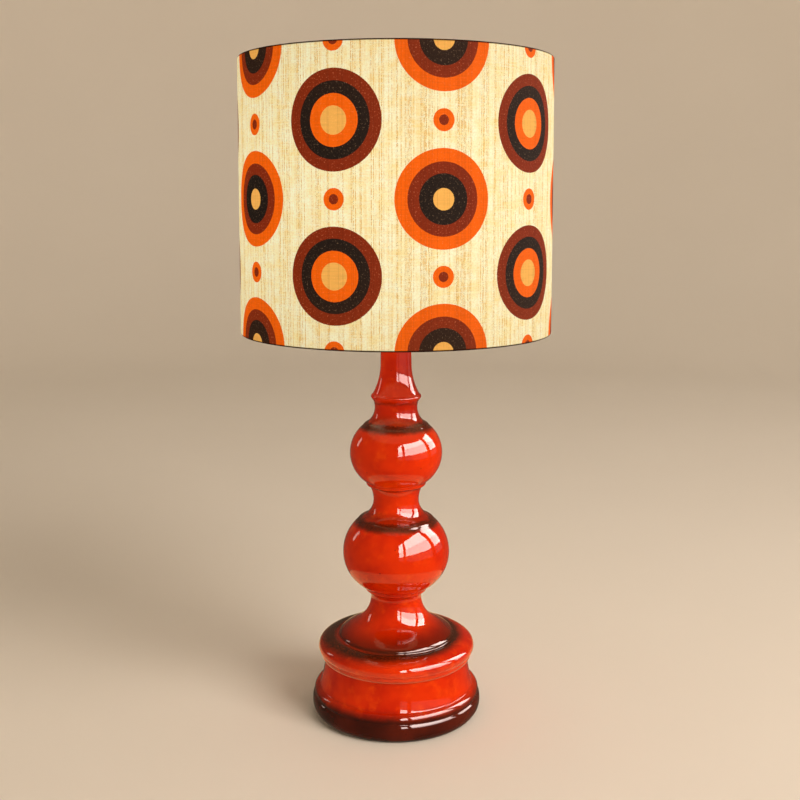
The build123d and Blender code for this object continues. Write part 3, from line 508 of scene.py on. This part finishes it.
# a thin veil of the brown reaches down the bell towards its groove
veil = times(eased(ragged_radius, 24 * mm, 56 * mm), times(eased(level, 118 * mm, 84 * mm), 0.86))
veil = times(veil, eased(level, 80 * mm, 82 * mm))
red = mixed(veil, red, (92, 21, 4))
colour = mixed(foot_dark, red, foot_brown)
# the brown goes on the sprayed glaze bands and on the painted crease shade alike
colour = mixed(dark, colour, brown)
# a rare iron fleck
fleck = eased(noise(place, 230, 0), 0.87, 0.90)
colour = mixed(times(fleck, 0.5), colour, (60, 14, 6))
gloss = scaled(dark, 0.05, scaled(cloud, 0.04, 0.012))
# height of the glaze: slow runs, a fine skin of a micron, slightly rough bands
runs = scaled(cloud, 0.1 * mm, times(broad, 0.3 * mm))
pores = scaled(spray, 0.001 * mm, runs)
feed(glaze, Base_Color=colour, Roughness=gloss)
emboss(glaze, scaled(times(dark, grain), 0.03 * mm, pores))
dress(ceramic, glaze, "base", "ceramic_body")

# The foot: a felt pad, open in the middle, under a dished steel plate. A washer and a nut on
# the long threaded tube pull the plate up and hold the whole lamp together.


def softened(corners, rounding, steps=5):
    """A closed outline with each corner drawn off along a parabola that starts and ends a
    rounding's length from it."""
    corners = np.array(corners, float)
    before = np.roll(corners, 1, axis=0) - corners
    after = np.roll(corners, -1, axis=0) - corners
    room = np.minimum(np.hypot(*before.T), np.hypot(*after.T)) * 0.45
    reach = np.minimum(np.broadcast_to(rounding, room.shape), room)[:, None]
    start = corners + before / np.hypot(*before.T)[:, None] * reach
    end = corners + after / np.hypot(*after.T)[:, None] * reach
    share = np.linspace(0, 1, steps)[:, None, None]
    curve = start * (1 - share) ** 2 + corners * 2 * share * (1 - share) + end * share**2
    return curve.transpose(1, 0, 2).reshape(-1, 2)


def box_outline(inner, outer, low, high):
    """Corners of a plain ring's section, anticlockwise."""
    return [(inner, low), (outer, low), (outer, high), (inner, high)]


# the felt is punched out, so its edge is frayed by a tenth of a millimetre
felt_columns, felt_radius = 300, 80 * mm
felt_rows = turned(softened(box_outline(22.0, 80.5, 0.02, 1.5), 0.5) * mm, felt_columns)
frayed = np.random.default_rng(5).normal(0, 0.10 * mm, felt_columns)
frayed = np.convolve(np.pad(frayed, 2, mode="wrap"), [0.1, 0.2, 0.4, 0.2, 0.1], "valid")
felt_rows[:, :, :2] *= (1 + frayed / felt_radius)[None, :, None]
# fibres: an uneven tone about 0.5, with so many features to a metre
fibre, given, result = new_group("fibres", {"Scale": 900, "Contrast": 1}, "Tone")
fibre_tone = reckon("ADD", noise(own_place(fibre), given["Scale"], 4, 0.7), -0.5)
fibre_tone = scaled(fibre_tone, given["Contrast"], 0.5, clamp=True)
fibre.links.new(fibre_tone, result["Tone"])


def grained(name, scale, contrast, dark, light, rough=(), relief=0.0, **constants):
    """A finish whose tone wanders between a dark and a light colour. Its roughness is the tone
    times the first of rough plus the second, and its height is the tone times the relief."""
    finish, tree = new_finish(name, **constants)
    tone = place_group(tree, fibre, Scale=scale, Contrast=contrast)
    feed(finish, Base_Color=mixed(tone, dark, light))
    if rough:
        feed(finish, Roughness=scaled(tone, *rough))
    if relief:
        emboss(finish, times(tone, relief))
    return finish


felt = grained("dark felt", 1400, 1.8, (28, 24, 22), (72, 64, 58), relief=0.25 * mm,
               Roughness=0.95, Sheen_Weight=0.5, Sheen_Roughness=0.6)
dress(skin("felt_sole", felt_rows), felt, "base", "felt_pad")

# zinc plating: cool grey with faint clouds and a fine scratched relief
zinc = grained("zinc plate", 160, 1.4, (150, 148, 142), (196, 194, 186), (0.22, 0.24),
               Metallic=1.0)
scratch = place_group(zinc.node_tree, fibre, Scale=2600, Contrast=1.0)
emboss(zinc, times(scratch, 0.02 * mm))
recoat(zinc, "base_plate", "base_washer")


def hexagon_nut(name, across, bore, low, high, around=96):
    """A chamfered nut: at each angle the flat stands half the width over the cosine of the
    angle from its middle, and near each face no further out than a cone of 30 degrees."""
    angle = whole_turn(around)
    flat = across / 2 / np.cos(angle % (tau / 6) - tau / 12)
    thick = high - low
    share = np.array([0, 0.04, 0.08, 0.13, 0.19, 0.26, 0.5, 0.74, 0.81, 0.87, 0.92, 0.96, 1])
    from_face = np.minimum(share, 1 - share)[:, None] * thick
    side = np.minimum(flat, across * 0.49 + from_face * 1.73)
    mouth = np.full((1, around), bore)
    level = np.concatenate([[low], low + share * thick, [high]])[:, None]
    return skin(name, about_z(np.concatenate([mouth, side, mouth]), level, angle), sharp=22)


tube_bore = 5.05 * mm
dress(hexagon_nut("foot_nut", 15.0 * mm, tube_bore, 7.0 * mm, 12.0 * mm),
      zinc, "base", "base_nut")

# a screw's thread as relief: a ramp up and down once in each pitch, wound about Z
thread, given, result = new_group("thread", {"Pitch": 0.001, "Depth": 0.0004}, "Height")
aside, back, level = put(thread, "SeparateXYZ", {0: own_place(thread)}).outputs
around_share = reckon("DIVIDE", reckon("ARCTAN2", back, aside), tau)
phase = reckon("SUBTRACT", reckon("DIVIDE", level, given["Pitch"]), around_share)
ramp = reckon("PINGPONG", phase, 0.5)
thread.links.new(times(ramp, times(given["Depth"], 2)), result["Height"])
tube_steel = grained("threaded steel", 300, 1.2, (128, 126, 120), (184, 180, 170), (0.2, 0.3),
                     Metallic=1.0)
emboss(tube_steel, place_group(tube_steel.node_tree, thread, Pitch=0.001, Depth=0.0005))
recoat(tube_steel, "threaded_tube")

# The cord's way in: a soft black grommet pushed into a hole at the back of the foot, with a
# rounded flange outside and a lip inside that snaps behind the wall.
grommet_outline = softened([(3.4, 73.4), (6.3, 73.4), (6.3, 75.4), (5.0, 76.4), (5.0, 84.8),
                            (7.8, 84.8), (7.8, 86.6), (3.4, 86.6)],
                           [0.6, 0.7, 0.5, 0.3, 0.1, 0.4, 0.9, 0.8]) * mm
black_plastic = grained("soft black plastic", 1800, 1.0, (26, 25, 24), (44, 42, 40), (0.2, 0.42),
                        0.05 * mm)
dress(skin("inlet_grommet", along_inlet(grommet_outline, 72)), black_plastic, "base",
      "cord_grommet")

# The top of the neck: a cork washer, a spun brass cap over the rim, and a thin brass nut that
# clamps them on the tube.
cap_outline = softened([(16.3, 398.2), (5.05, 398.2), (5.05, 397.0), (15.1, 397.0),
                        (15.1, 392.2), (16.9, 392.2), (16.9, 393.0), (16.3, 393.5)],
                       [1.3, 0.2, 0.2, 0.5, 0.2, 0.35, 0.35, 0.3], 7) * mm
brass = grained("lacquered brass", 90, 1.3, (178, 130, 62), (226, 184, 104),
                Metallic=1.0, Coat_Weight=0.3)
tree = brass.node_tree
spun = put(tree, "Mapping", {0: own_place(tree), "Scale": (1, 1, 40)})
lines = noise(spun.outputs[0], 240, 3)
feed(brass, Roughness=scaled(lines, 0.16, 0.14))
emboss(brass, times(lines, 0.01 * mm))
dress(skin("brass_cap", turned(cap_outline, 144)), brass, "base", "neck_cap")
dress(hexagon_nut("neck_lock_nut", 14.0 * mm, tube_bore, 398.2 * mm, 401.2 * mm),
      brass, "base", "neck_nut")
cork = grained("pressed cork", 700, 2.2, (112, 74, 42), (190, 146, 98), relief=0.2 * mm,
               Roughness=0.85)
recoat(cork, "neck_washer")

# The lampholder: a ribbed black cup moulded in thermoset, screwed to the tube by its entry
# bush, with a window on each side for the switch bar.
cup_columns = 240
cup_outline = softened([(8.65, 408.6), (8.65, 401.2), (10.9, 401.2), (10.9, 406.2),
                        (20.5, 406.2), (20.5, 435.2), (18.1, 435.2), (18.1, 425.7),
                        (16.5, 425.7), (16.5, 408.6)],
                       [0.2, 0.3, 0.6, 0.8, 6.5, 0.5, 0.3, 0.2, 0.2, 3.0], 9) * mm
cup_outline = gather(even_out(np.concatenate([cup_outline, cup_outline[:1]]), 0.1 * mm),
                     150, 1.2 * mm, radians(9))[:-1]
cup_rows = turned(cup_outline, cup_columns)
# forty ribs, 0.3 mm deep, on the straight part of the outside
cup_radius, cup_level = cup_outline[:, 0], cup_outline[:, 1]
on_ribs = (cup_level > 0.4225) * (cup_level < 0.4335) * (cup_radius > 0.0200)
rib_wave = (0.5 + 0.5 * np.cos(40 * whole_turn(cup_columns))) ** 2
cup_rows[:, :, :2] *= (1 - 0.016 * on_ribs[:, None] * rib_wave)[:, :, None]
cup = skin("holder_shell", cup_rows)
window_section = softened(box_outline(-4.75, 4.75, 415.45, 421.95), 0.4)
window_rows = np.stack([np.insert(window_section, 0, x, axis=1) for x in (-30, 30)]) * mm
cut(cup, skin("window", window_rows, loop=False))
moulding = grained("black thermoset", 240, 1.4, (22, 19, 17), (38, 33, 29), (0.2, 0.2),
                   0.04 * mm, Coat_Weight=0.2)
dress(cup, moulding, "base", "holder_cup")
recoat(tube_steel, "grub_screw")
plain_brass = grained("plain brass", 300, 1.5, (160, 118, 60), (212, 170, 98), (0.2, 0.26),
                      Metallic=1.0)
recoat(plain_brass, "entry_bush", "centre_tongue", "terminal_blocks", "bridge_contact",
       "switch_posts", "core_screws")
recoat(zinc, "terminal_screws")

# The switch: an ivory bar that is pushed through the cup from either side, wider inside so
# that it can't fall out.
across = np.array([-28.5, -28.2, -27.6, -26.6, -16.0, -15.6, 9.6, 10.0, 20.6, 21.6, 22.2, 22.5])
half_width = np.array([2.9, 3.7, 4.2, 4.5, 4.5, 6.5, 6.5, 4.5, 4.5, 4.2, 3.7, 2.9])
half_height = np.array([1.6, 2.3, 2.75, 3.0, 3.0, 3.0, 3.0, 3.0, 3.0, 2.75, 2.3, 1.6])
bar_level, bar_angle = 418.7, whole_turn(64)
# the section is a squared circle: cosine and sine to the power one quarter
squared = [np.sign(wave) * np.abs(wave) ** 0.25 for wave in (np.cos(bar_angle), np.sin(bar_angle))]
bar_rows = np.stack([across[:, None] + 0 * bar_angle, half_width[:, None] * squared[0],
                     bar_level + half_height[:, None] * squared[1]], axis=-1) * mm
ivory = grained("ivory thermoset", 300, 1.2, (206, 196, 170), (226, 218, 196), (0.15, 0.3),
                Coat_Weight=0.15)
dress(skin("switch_bar", bar_rows, loop=False), ivory, "switch", "push_bar")

# Inside the holder: a white porcelain core pinched between cup and sleeve, with the brass
# screw shell on it.
porcelain = grained("unglazed porcelain", 500, 1.2, (214, 211, 202), (236, 233, 226),
                    relief=0.06 * mm, Roughness=0.55)
recoat(porcelain, "holder_core")
bulb_pitch = 3.63
shell_brass = grained("rolled shell brass", 300, 1.5, (160, 118, 60), (214, 172, 100),
                      (0.2, 0.24), Metallic=1.0)
emboss(shell_brass, place_group(
    shell_brass.node_tree, thread, Pitch=bulb_pitch * mm, Depth=0.8 * mm))
recoat(shell_brass, "screw_shell")

# The sleeve: a black moulding with a coarse thread outside for the two shade rings, screwed
# down into the cup over the core.
sleeve_levels, sleeve_angle = np.arange(435.3, 466.45, 0.25)[:, None], whole_turn(128)
# the thread is 0.75 mm deep: a flat-topped wave of the height over the pitch less the share of
# a turn, faded out over one pitch at both ends
ring_pitch, thread_low, thread_high = 2.6, 436.5, 465.5
phase = (sleeve_levels / ring_pitch - sleeve_angle / tau) % 1
fade = (np.clip((sleeve_levels - thread_low) / ring_pitch, 0, 1)
        * np.clip((thread_high - sleeve_levels) / ring_pitch, 0, 1))
sleeve_reach = 19.6 - 0.75 * np.clip(1.5 - 5 * np.abs(phase - 0.5), 0, 1) * fade
sleeve_top = np.concatenate([arc_from((19.6, 466.45), (0, 1), (18.9, 467.2), 5)[1:],
                             [(16.8, 467.2), (16.4, 466.8)]])
sleeve_rows = np.concatenate([
    turned(np.array([(16.4, 429.2), (18.05, 429.2), (18.05, 435.2), (19.3, 435.2)]), 128),
    about_z(sleeve_reach, sleeve_levels, sleeve_angle),
    turned(sleeve_top, 128),
]) * mm
dress(skin("holder_collar", sleeve_rows), moulding, "base", "holder_sleeve")

# Two black shade rings run on the sleeve's thread, each with finger notches in its edge: the
# lower carries the shade's fitter plate, and the upper keeps the plate down.


def notched(outline, around, centre, notch, count):
    """A turned outline whose outermost points are bitten by round notches centred on a circle:
    beside a notch's middle line the edge is the near side of the notch."""
    angle = whole_turn(around)
    aside = (angle + pi / count) % (tau / count) - pi / count
    offset = centre * np.sin(aside)
    within = np.abs(offset) < notch
    bite = centre * np.cos(aside) - np.sqrt(np.maximum(notch**2 - offset**2, 0))
    limit = np.where(within, bite, centre * 2)
    radius = np.minimum(outline[:, :1], limit + (outline[:, :1] < centre - notch) * centre)
    return about_z(radius, outline[:, 1:], angle)


ring_rim = 27.5
for name, node, corners, rounding in (
        ("lower_lock_ring", "lower_shade_ring", box_outline(19.65, ring_rim, 442.7, 447.2),
         [0.3, 0.7, 0.7, 0.3]),
        ("upper_lock_ring", "upper_shade_ring",
         [(19.65, 448.9), (ring_rim, 448.9), (ring_rim, 451.3), (23.9, 451.3), (23.3, 455.4),
          (19.65, 455.4)], [0.3, 0.6, 0.6, 0.6, 0.7, 0.3])):
    ring_rows = notched(softened(corners, rounding) * mm, 360, ring_rim * mm, 1.6 * mm, 12)
    dress(skin(name, ring_rows, sharp=30), moulding, "base", node)

# The bulb: an opal glass ball in a rolled metal cap, with black glass at its foot and a spot
# of solder for the centre contact. It is lit.


def headings(line):
    """The direction of a line at each of its points, of length one."""
    way = np.gradient(line, axis=0)
    return way / np.linalg.norm(way, axis=1)[:, None]


ball_radius, ball_level, near_axis = 30, 522.75, 0.02
ball_angle = np.linspace(pi / 2, -radians(35), 44)
ball = np.stack([ball_radius * np.cos(ball_angle),
                 ball_level + ball_radius * np.sin(ball_angle)], axis=-1)
shoulder = arc_from(ball[-1], ball[-1] - ball[-2], (15.5, 486.75), 14)[1:]
glass_outline = np.concatenate([ball, shoulder, [(13.6, 478.5), (12.65, 473.95), (12.65, 463.95)]])
glass_way = headings(glass_outline)
glass_inner = glass_outline + 0.8 * np.stack([glass_way[:, 1], -glass_way[:, 0]], axis=-1)
glass_inner[:, 0] = np.maximum(glass_inner[:, 0], near_axis)
glass_outline[0, 0] = near_axis
bulb_glass = skin("opal_ball", turned(np.concatenate([glass_outline, glass_inner[::-1]]) * mm, 112))
opal, tree = new_finish("lit opal glass", Roughness=0.12, Coat_Weight=0.5, Emission_Strength=1.15,
                        Base_Color=linear(250, 244, 232))
level = put(tree, "SeparateXYZ", {0: own_place(tree)}).outputs[2]
opal_glow = mixed(eased(level, 476 * mm, 512 * mm), (255, 178, 100), (255, 232, 186))
tone = place_group(tree, fibre, Scale=60, Contrast=0.6)
feed(opal, Emission_Color=mixed(times(tone, 0.3), opal_glow, (255, 206, 140)))
dress(bulb_glass, opal, "bulb", "bulb_glass")

# the cap's thread is rolled, so it is a plain wave in section, and the inside follows it
cap_low, cap_high = 453.4, 471.5
cap_levels, cap_angle = np.arange(cap_low, 472.6, 0.3)[:, None], whole_turn(112)
cap_phase = cap_levels / bulb_pitch - cap_angle / tau
cap_fade = np.clip((cap_levels - cap_low) / 3, 0, 1) * np.clip((cap_high - cap_levels) / 3, 0, 1)
cap_reach = 13.1 - 0.42 * (1 - np.cos(tau * cap_phase)) * cap_fade
cap_rows = np.concatenate([
    turned(np.array([(11.7, 452.35), (11.7, 451.95), (12.6, 451.95), (13.0, 452.5)]), 112),
    about_z(cap_reach, cap_levels, cap_angle),
    turned(np.array([(13.1, 473.95), (12.7, 473.95)]), 112),
    about_z(cap_reach - 0.4, cap_levels, cap_angle)[::-1],
]) * mm
cap_metal = grained("rolled cap metal", 260, 1.4, (176, 174, 168), (214, 212, 205), (0.2, 0.2),
                    Metallic=1.0)
dress(skin("screw_cap", cap_rows), cap_metal, "bulb", "bulb_cap")
recoat(grained("black cap glass", 200, 1.2, (14, 13, 14), (30, 28, 30), (0.2, 0.08)),
       "bulb_insulator")
recoat(grained("solder", 700, 1.6, (140, 140, 140), (190, 190, 188), (0.3, 0.3), Metallic=1.0),
       "bulb_contact")
recoat(grained("clear stem glass", 200, 0.5, (226, 234, 228), (246, 250, 246),
               Transmission_Weight=1.0, Roughness=0.03, IOR=1.5), "bulb_stem")
recoat(grained("nickel wire", 900, 1.2, (160, 156, 148), (206, 202, 192), (0.2, 0.25),
               Metallic=1.0), "lead_wires")
tungsten, tree = new_finish("glowing tungsten", Emission_Strength=3.0)
tone = place_group(tree, fibre, Scale=2400, Contrast=1.5)
feed(tungsten, Emission_Color=mixed(tone, (255, 190, 110), (255, 226, 170)))
recoat(tungsten, "filament")

# The shade's frame: a fitter plate and three steel arms, spot-welded to it and to the bottom
# wire, all dipped in white enamel.
enamel = grained("white enamel", 420, 1.2, (208, 204, 192), (232, 228, 218), (0.2, 0.3),
                 0.08 * mm, Coat_Weight=0.3)
plate_outline = softened(box_outline(20.0, 31.0, 447.45, 448.65), 0.3) * mm
dress(skin("fitter_disc", turned(plate_outline, 144)), enamel, "shade",
      "fitter_plate")
# each arm runs level off the plate, bends down at a radius of 9 mm, and stops 1.22 mm short of
# the wire's middle
wire_foot = np.array([148.25, 392.75])
arm_start, arm_bend = np.array([29.0, 450.17]), np.array([36.0, 450.17])
slope = (wire_foot - arm_bend) / np.hypot(*(wire_foot - arm_bend))
trim = 9 * np.tan(np.arccos(slope[0]) / 2)
arm_bow = arc_from(arm_bend - (trim, 0), (1, 0), arm_bend + slope * trim, 12)
arm_line = np.concatenate([
    np.linspace(arm_start, arm_bow[0], 6)[:-1], arm_bow,
    np.linspace(arm_bow[-1], wire_foot - slope * 1.22, 30)[1:],
]) * mm
arm_run = way_along(arm_line)
# the wire is 3 mm thick, and its cut tips are rounded off
to_tip = np.minimum(arm_run, arm_run[-1] - arm_run) / mm
arm_radius = (1.5 - 0.9 * np.exp(-((to_tip / 0.5) ** 2)))[:, None, None] * mm
# each row is a circle in the plane of the side direction and of the path's own normal
around_arm = whole_turn(20)[:, None]
for number, azimuth in enumerate((90, 210, 330), 1):
    outwards = np.array([cos(radians(azimuth)), sin(radians(azimuth)), 0])
    sideways = np.array([-outwards[1], outwards[0], 0])
    arm_path = arm_line[:, :1] * outwards + arm_line[:, 1:] * np.array([0, 0, 1])
    normal = np.cross(sideways, headings(arm_path))[:, None]
    arm_rows = arm_path[:, None] + arm_radius * (
        np.cos(around_arm) * sideways + np.sin(around_arm) * normal)
    dress(skin(f"shade_arm_{number}", arm_rows, loop=False), enamel, "shade",
          f"spider_arm_{number}")
recoat(enamel, "bottom_wire", "top_wire")

# The lining: thin white laminate bonded inside the cloth, which glows where the bulb is near.
shade_foot, shade_head = wire_foot * mm, np.array([145.25, 644.25]) * mm
shade_reach = np.hypot(*(shade_head - shade_foot))
shade_up = (shade_head - shade_foot) / shade_reach
shade_out = np.array([shade_up[1], -shade_up[0]])


def beside_wall(distance, offset):
    """Points of radius and height a distance up the line between the two rim wires and an
    offset outwards from it."""
    return shade_foot + np.multiply.outer(distance, shade_up) + offset * shade_out


lining_run = np.linspace(1.9 * mm, shade_reach - 1.9 * mm, 40)
lining_outline = np.concatenate([beside_wall(lining_run, 1.24 * mm),
                                 beside_wall(lining_run[::-1], 0.85 * mm)])
lining, tree = new_finish("lit lining", Roughness=0.6, Emission_Strength=0.36)
level = put(tree, "SeparateXYZ", {0: own_place(tree)}).outputs[2]


def fall_off(level, middle, reach):
    """The square of how far a level is from a middle level, counted in reaches."""
    away = reckon("ABSOLUTE", reckon("DIVIDE", reckon("SUBTRACT", level, middle), reach))
    return reckon("POWER", away, 2.0)


lining_glow = scaled(fall_off(level, 522 * mm, 125 * mm), -0.42, 1.0, clamp=True)
tone = place_group(tree, fibre, Scale=260, Contrast=0.6)
glow_colour = mixed(tone, (250, 216, 166), (255, 224, 178))
feed(lining, Base_Color=mixed(tone, (188, 179, 162), (200, 192, 176)),
     Emission_Color=mixed(lining_glow, (120, 84, 46), glow_colour))
dress(skin("shade_lining", turned(lining_outline, 240)), lining, "shade",
      "shade_liner")

# The cloth: slubbed cream cotton with a printed repeat, cut as one strip, lapped at the back
# and rolled tightly over the wire at each rim.
rolled = np.radians(np.linspace(-268, -12, 22))
middle_offset, half_cloth = 1.5 * mm, 0.24 * mm


def roll_over(centre, angles):
    """Middle line of the cloth round a rim wire, and its way out from the wire's centre."""
    out = np.cos(angles)[:, None] * shade_out + np.sin(angles)[:, None] * shade_up
    return centre + middle_offset * out, out


wall_run = np.linspace(0, shade_reach, 64)
foot_line, foot_out = roll_over(shade_foot, rolled)
head_line, head_out = roll_over(shade_head, -rolled[::-1])
cloth_line = np.concatenate([foot_line, beside_wall(wall_run, middle_offset), head_line])
cloth_out = np.concatenate([foot_out, np.broadcast_to(shade_out, (64, 2)), head_out])
cloth_run = way_along(cloth_line)
cloth_run -= cloth_run[len(rolled)]
# columns: even steps, with extra ones at the cut edge of the lap
lap_edge = radians(90) - 0.040
cloth_angle = np.sort(np.concatenate([
    whole_turn(252), lap_edge + np.array([-0.0012, 0.0, 0.0012, 0.0026])]))
past_edge = cloth_angle - lap_edge
# past its cut edge the upper layer lies 0.45 mm proud for 12 mm, then settles over 14 mm
lap = 0.45 * mm * np.clip(past_edge / 0.0024, 0, 1) * (
    0.5 + 0.5 * np.cos(pi * np.clip((past_edge - 0.08) / 0.09, 0, 1)))
# between the wires the drum is out of round by a tenth of a millimetre
sway = 0.12 * mm * np.cos(2 * cloth_angle + 0.7) + 0.05 * mm * np.cos(5 * cloth_angle)
tension = np.clip(4 * cloth_run * (shade_reach - cloth_run) / shade_reach**2, 0, 1)


def cloth_rows(offset):
    """Rows at an offset from the middle line: radius and height along the way out, plus the
    lap outside and the sway between the rims, turned about Z."""
    at = cloth_line + cloth_out * offset
    extra = sway * tension[:, None] + lap * (offset > 0)
    return about_z(at[:, :1] + extra * np.maximum(cloth_out[:, :1], 0), at[:, 1:], cloth_angle)


cloth = skin("printed_drum", np.concatenate([
    cloth_rows(half_cloth), cloth_rows(-half_cloth)[::-1]]))
# the print's own map, in metres: round the drum from the lap's cut edge, and up the cloth
mesh = cloth.data
corner_of = np.empty(len(mesh.loops), int)
mesh.loops.foreach_get("vertex_index", corner_of)
columns, line_rows = len(cloth_angle), len(cloth_line)
row_of, column_of = corner_of // columns, corner_of % columns
row_of = np.where(row_of < line_rows, row_of, 2 * line_rows - 1 - row_of)
share_round = ((cloth_angle - lap_edge) % tau / tau)[column_of].reshape(-1, 4)
# a face that crosses the cut edge keeps its four corners side by side
crossing = (share_round.max(1) - share_round.min(1))[:, None] > 0.5
share_round = np.where(crossing & (share_round < 0.5), share_round + 1, share_round)
strip_length, strip_width = tau * 0.1485, 0.266
uv = np.stack([share_round.ravel() * strip_length, cloth_run[row_of]], axis=-1)
mesh.uv_layers.new(name="cloth").data.foreach_set("uv", uv.ravel())

# the cloth's emission is painted light: it stands for the bulb's light shining through the cloth
printed, tree = new_finish("printed cloth", Roughness=0.9, Specular_IOR_Level=0.04,
                           Emission_Strength=0.81)
strip = put(tree, "UVMap", uv_map="cloth").outputs[0]
round_drum, up_drum, _ = put(tree, "SeparateXYZ", {0: strip}).outputs
slub_place = put(tree, "Mapping", {0: strip, "Scale": (1.0, 0.045, 1.0)}).outputs[0]
weft_place = put(tree, "Mapping", {0: strip, "Scale": (0.06, 1.0, 1.0)}).outputs[0]
slub = noise(slub_place, 300, 3, 0.6)
weft = noise(weft_place, 800, 3, 0.6)
threads = noise(strip, 1500, 2)
knots = noise(strip, 620, 2)
# warp threads 0.95 mm apart: each has a tone of its own, is strongest along its middle, and
# thickens here and there
warp_count = reckon("DIVIDE", round_drum, 0.95 * mm)
warp_number = reckon("FLOOR", warp_count)
warp_tone = put(tree, "TexWhiteNoise", {"W": warp_number}, noise_dimensions="1D").outputs[0]
warp_middle = eased(reckon("PINGPONG", warp_count, 0.5), 0.0, 0.34)
dash_place = put(tree, "CombineXYZ", {0: times(warp_number, 0.31), 1: up_drum}).outputs[0]
dashes = noise(dash_place, 120, 3, 0.6)
clouds = noise(strip, 70, 4, 0.65)
# half-drop repeat of ten columns: in each cell the distance from the middle picks the ring
column_width, repeat_height = strip_length / 10, 0.128
round_cells = reckon("DIVIDE", round_drum, column_width)
odd_column = reckon("FLOORED_MODULO", reckon("FLOOR", round_cells), 2)
up_cells = reckon("ADD", scaled(odd_column, 0.5, 0.02), reckon("DIVIDE", up_drum, repeat_height))
cell_across, cell_up = (
    times(reckon("SUBTRACT", reckon("FRACT", cells), 0.5), size)
    for cells, size in ((round_cells, column_width), (up_cells, repeat_height)))
bleed = scaled(threads, 0.8 * mm, -0.4 * mm)


def from_middle(across, up):
    """Distance of a point from a motif's middle, with the ink's uneven edge."""
    corner = put(tree, "CombineXYZ", {0: across, 1: up}).outputs[0]
    length = put(tree, "VectorMath", {0: corner}, operation="LENGTH").outputs["Value"]
    return reckon("ADD", length, bleed)


def rings(distance, *steps):
    """A colour for each ring: every step is the millimetres where its colour starts."""
    farthest = 60
    ramp = put(tree, "ValToRGB", {0: reckon("DIVIDE", distance, farthest * mm)})
    ramp.color_ramp.interpolation = "CONSTANT"
    stops = ramp.color_ramp.elements
    while len(stops) < len(steps):
        stops.new(1.0)
    for stop, (start, colour) in zip(stops, steps):
        stop.position, stop.color = start / farthest, colour
    return ramp.outputs[0]


orange, amber = linear(255, 102, 4), linear(254, 184, 88)
ink_brown, ink_black = linear(136, 42, 13), linear(30, 23, 19)
large = from_middle(cell_across, cell_up)
small = from_middle(cell_across, reckon("SUBTRACT", reckon("ABSOLUTE", cell_up), repeat_height / 2))
first = rings(large, (0, amber), (11.5, orange), (21.5, ink_black), (31.5, ink_brown))
second = rings(large, (0, amber), (9.0, ink_black), (21.0, ink_brown), (30.5, orange))
spots = rings(small, (0, ink_brown), (4.2, orange))
ink = mixed(odd_column, first, second)
on_small = reckon("LESS_THAN", small, 9.2 * mm)
ink = mixed(on_small, ink, spots)
inked = reckon("MAXIMUM", on_small, reckon("LESS_THAN", large, 41.5 * mm))
# bare cloth: warm white, with ochre warp threads, slubs, knots and a fine weft over soft
# clouds, and brown husk caught in the thickest threads
strong = times(eased(warp_tone, 0.46, 0.92), warp_middle)
thick = eased(dashes, 0.45, 0.57)
ochre = times(strong, scaled(thick, 0.74, 0.18))
husk = times(eased(threads, 0.55, 0.63), scaled(strong, 0.85, 0.15))
cream = mixed(eased(clouds, 0.34, 0.70), (255, 251, 208), (254, 235, 168))
cream = mixed(ochre, cream, (232, 168, 66))
for tone, low, high, share, tint in (
        (slub, 0.48, 0.66, 0.36, (246, 200, 108)),
        (knots, 0.44, 0.66, 0.24, (230, 176, 94)),
        (weft, 0.50, 0.66, 0.34, (255, 253, 226))):
    cream = mixed(times(eased(tone, low, high), share), cream, tint)
cream = mixed(times(husk, 0.75), cream, (112, 78, 32))
# the ink lies unevenly on the threads, most of all the dark inks, and light comes through in
# pinholes between them
pinhole = eased(scaled(threads, 0.4, times(knots, 0.6)), 0.57, 0.65)
redness = put(tree, "SeparateXYZ", {0: ink}).outputs[0]
lift = scaled(redness, -0.85, 0.95, clamp=True)
uneven = reckon("ADD", times(pinhole, lift), scaled(strong, -0.14, scaled(weft, 0.36, 0.74)))
ink = put(tree, "VectorMath", {0: ink, "Scale": uneven}, operation="SCALE").outputs[0]
ink = mixed(times(pinhole, 0.12), ink, (255, 206, 150))
cloth_colour = mixed(inked, cream, ink)
# the glow is painted light, the bulb's light through the cloth: brightest beside the bulb,
# dimmer to both rims, and no light through the rolled rims
dimming = times(fall_off(up_drum, 0.135, 0.135), 0.17)
glow = mixed(dimming, cloth_colour, (96, 48, 10))
off_rim = place_group(tree, band_and_shade_mask, Level=up_drum, Low=-0.3 * mm,
                      High=shade_reach + 0.3 * mm, Feather=0.4 * mm)
# on the rolled rims the glow is near black, and so is the base colour: painted shade there
rim_glow = mixed(0.985, cloth_colour, (34, 11, 2))
# the base colour is the cloth's colour darkened by about three quarters, as the painted glow gives
# the rest
dimmed_cloth_base = mixed(0.76, cloth_colour, (24, 16, 10))
feed(printed, Base_Color=mixed(off_rim, (30, 13, 5), dimmed_cloth_base),
     Emission_Color=mixed(off_rim, rim_glow, glow))
emboss(printed, times(reckon("ADD", strong, weft), 0.16 * mm))
dress(cloth, printed, "shade", "shade_cloth")
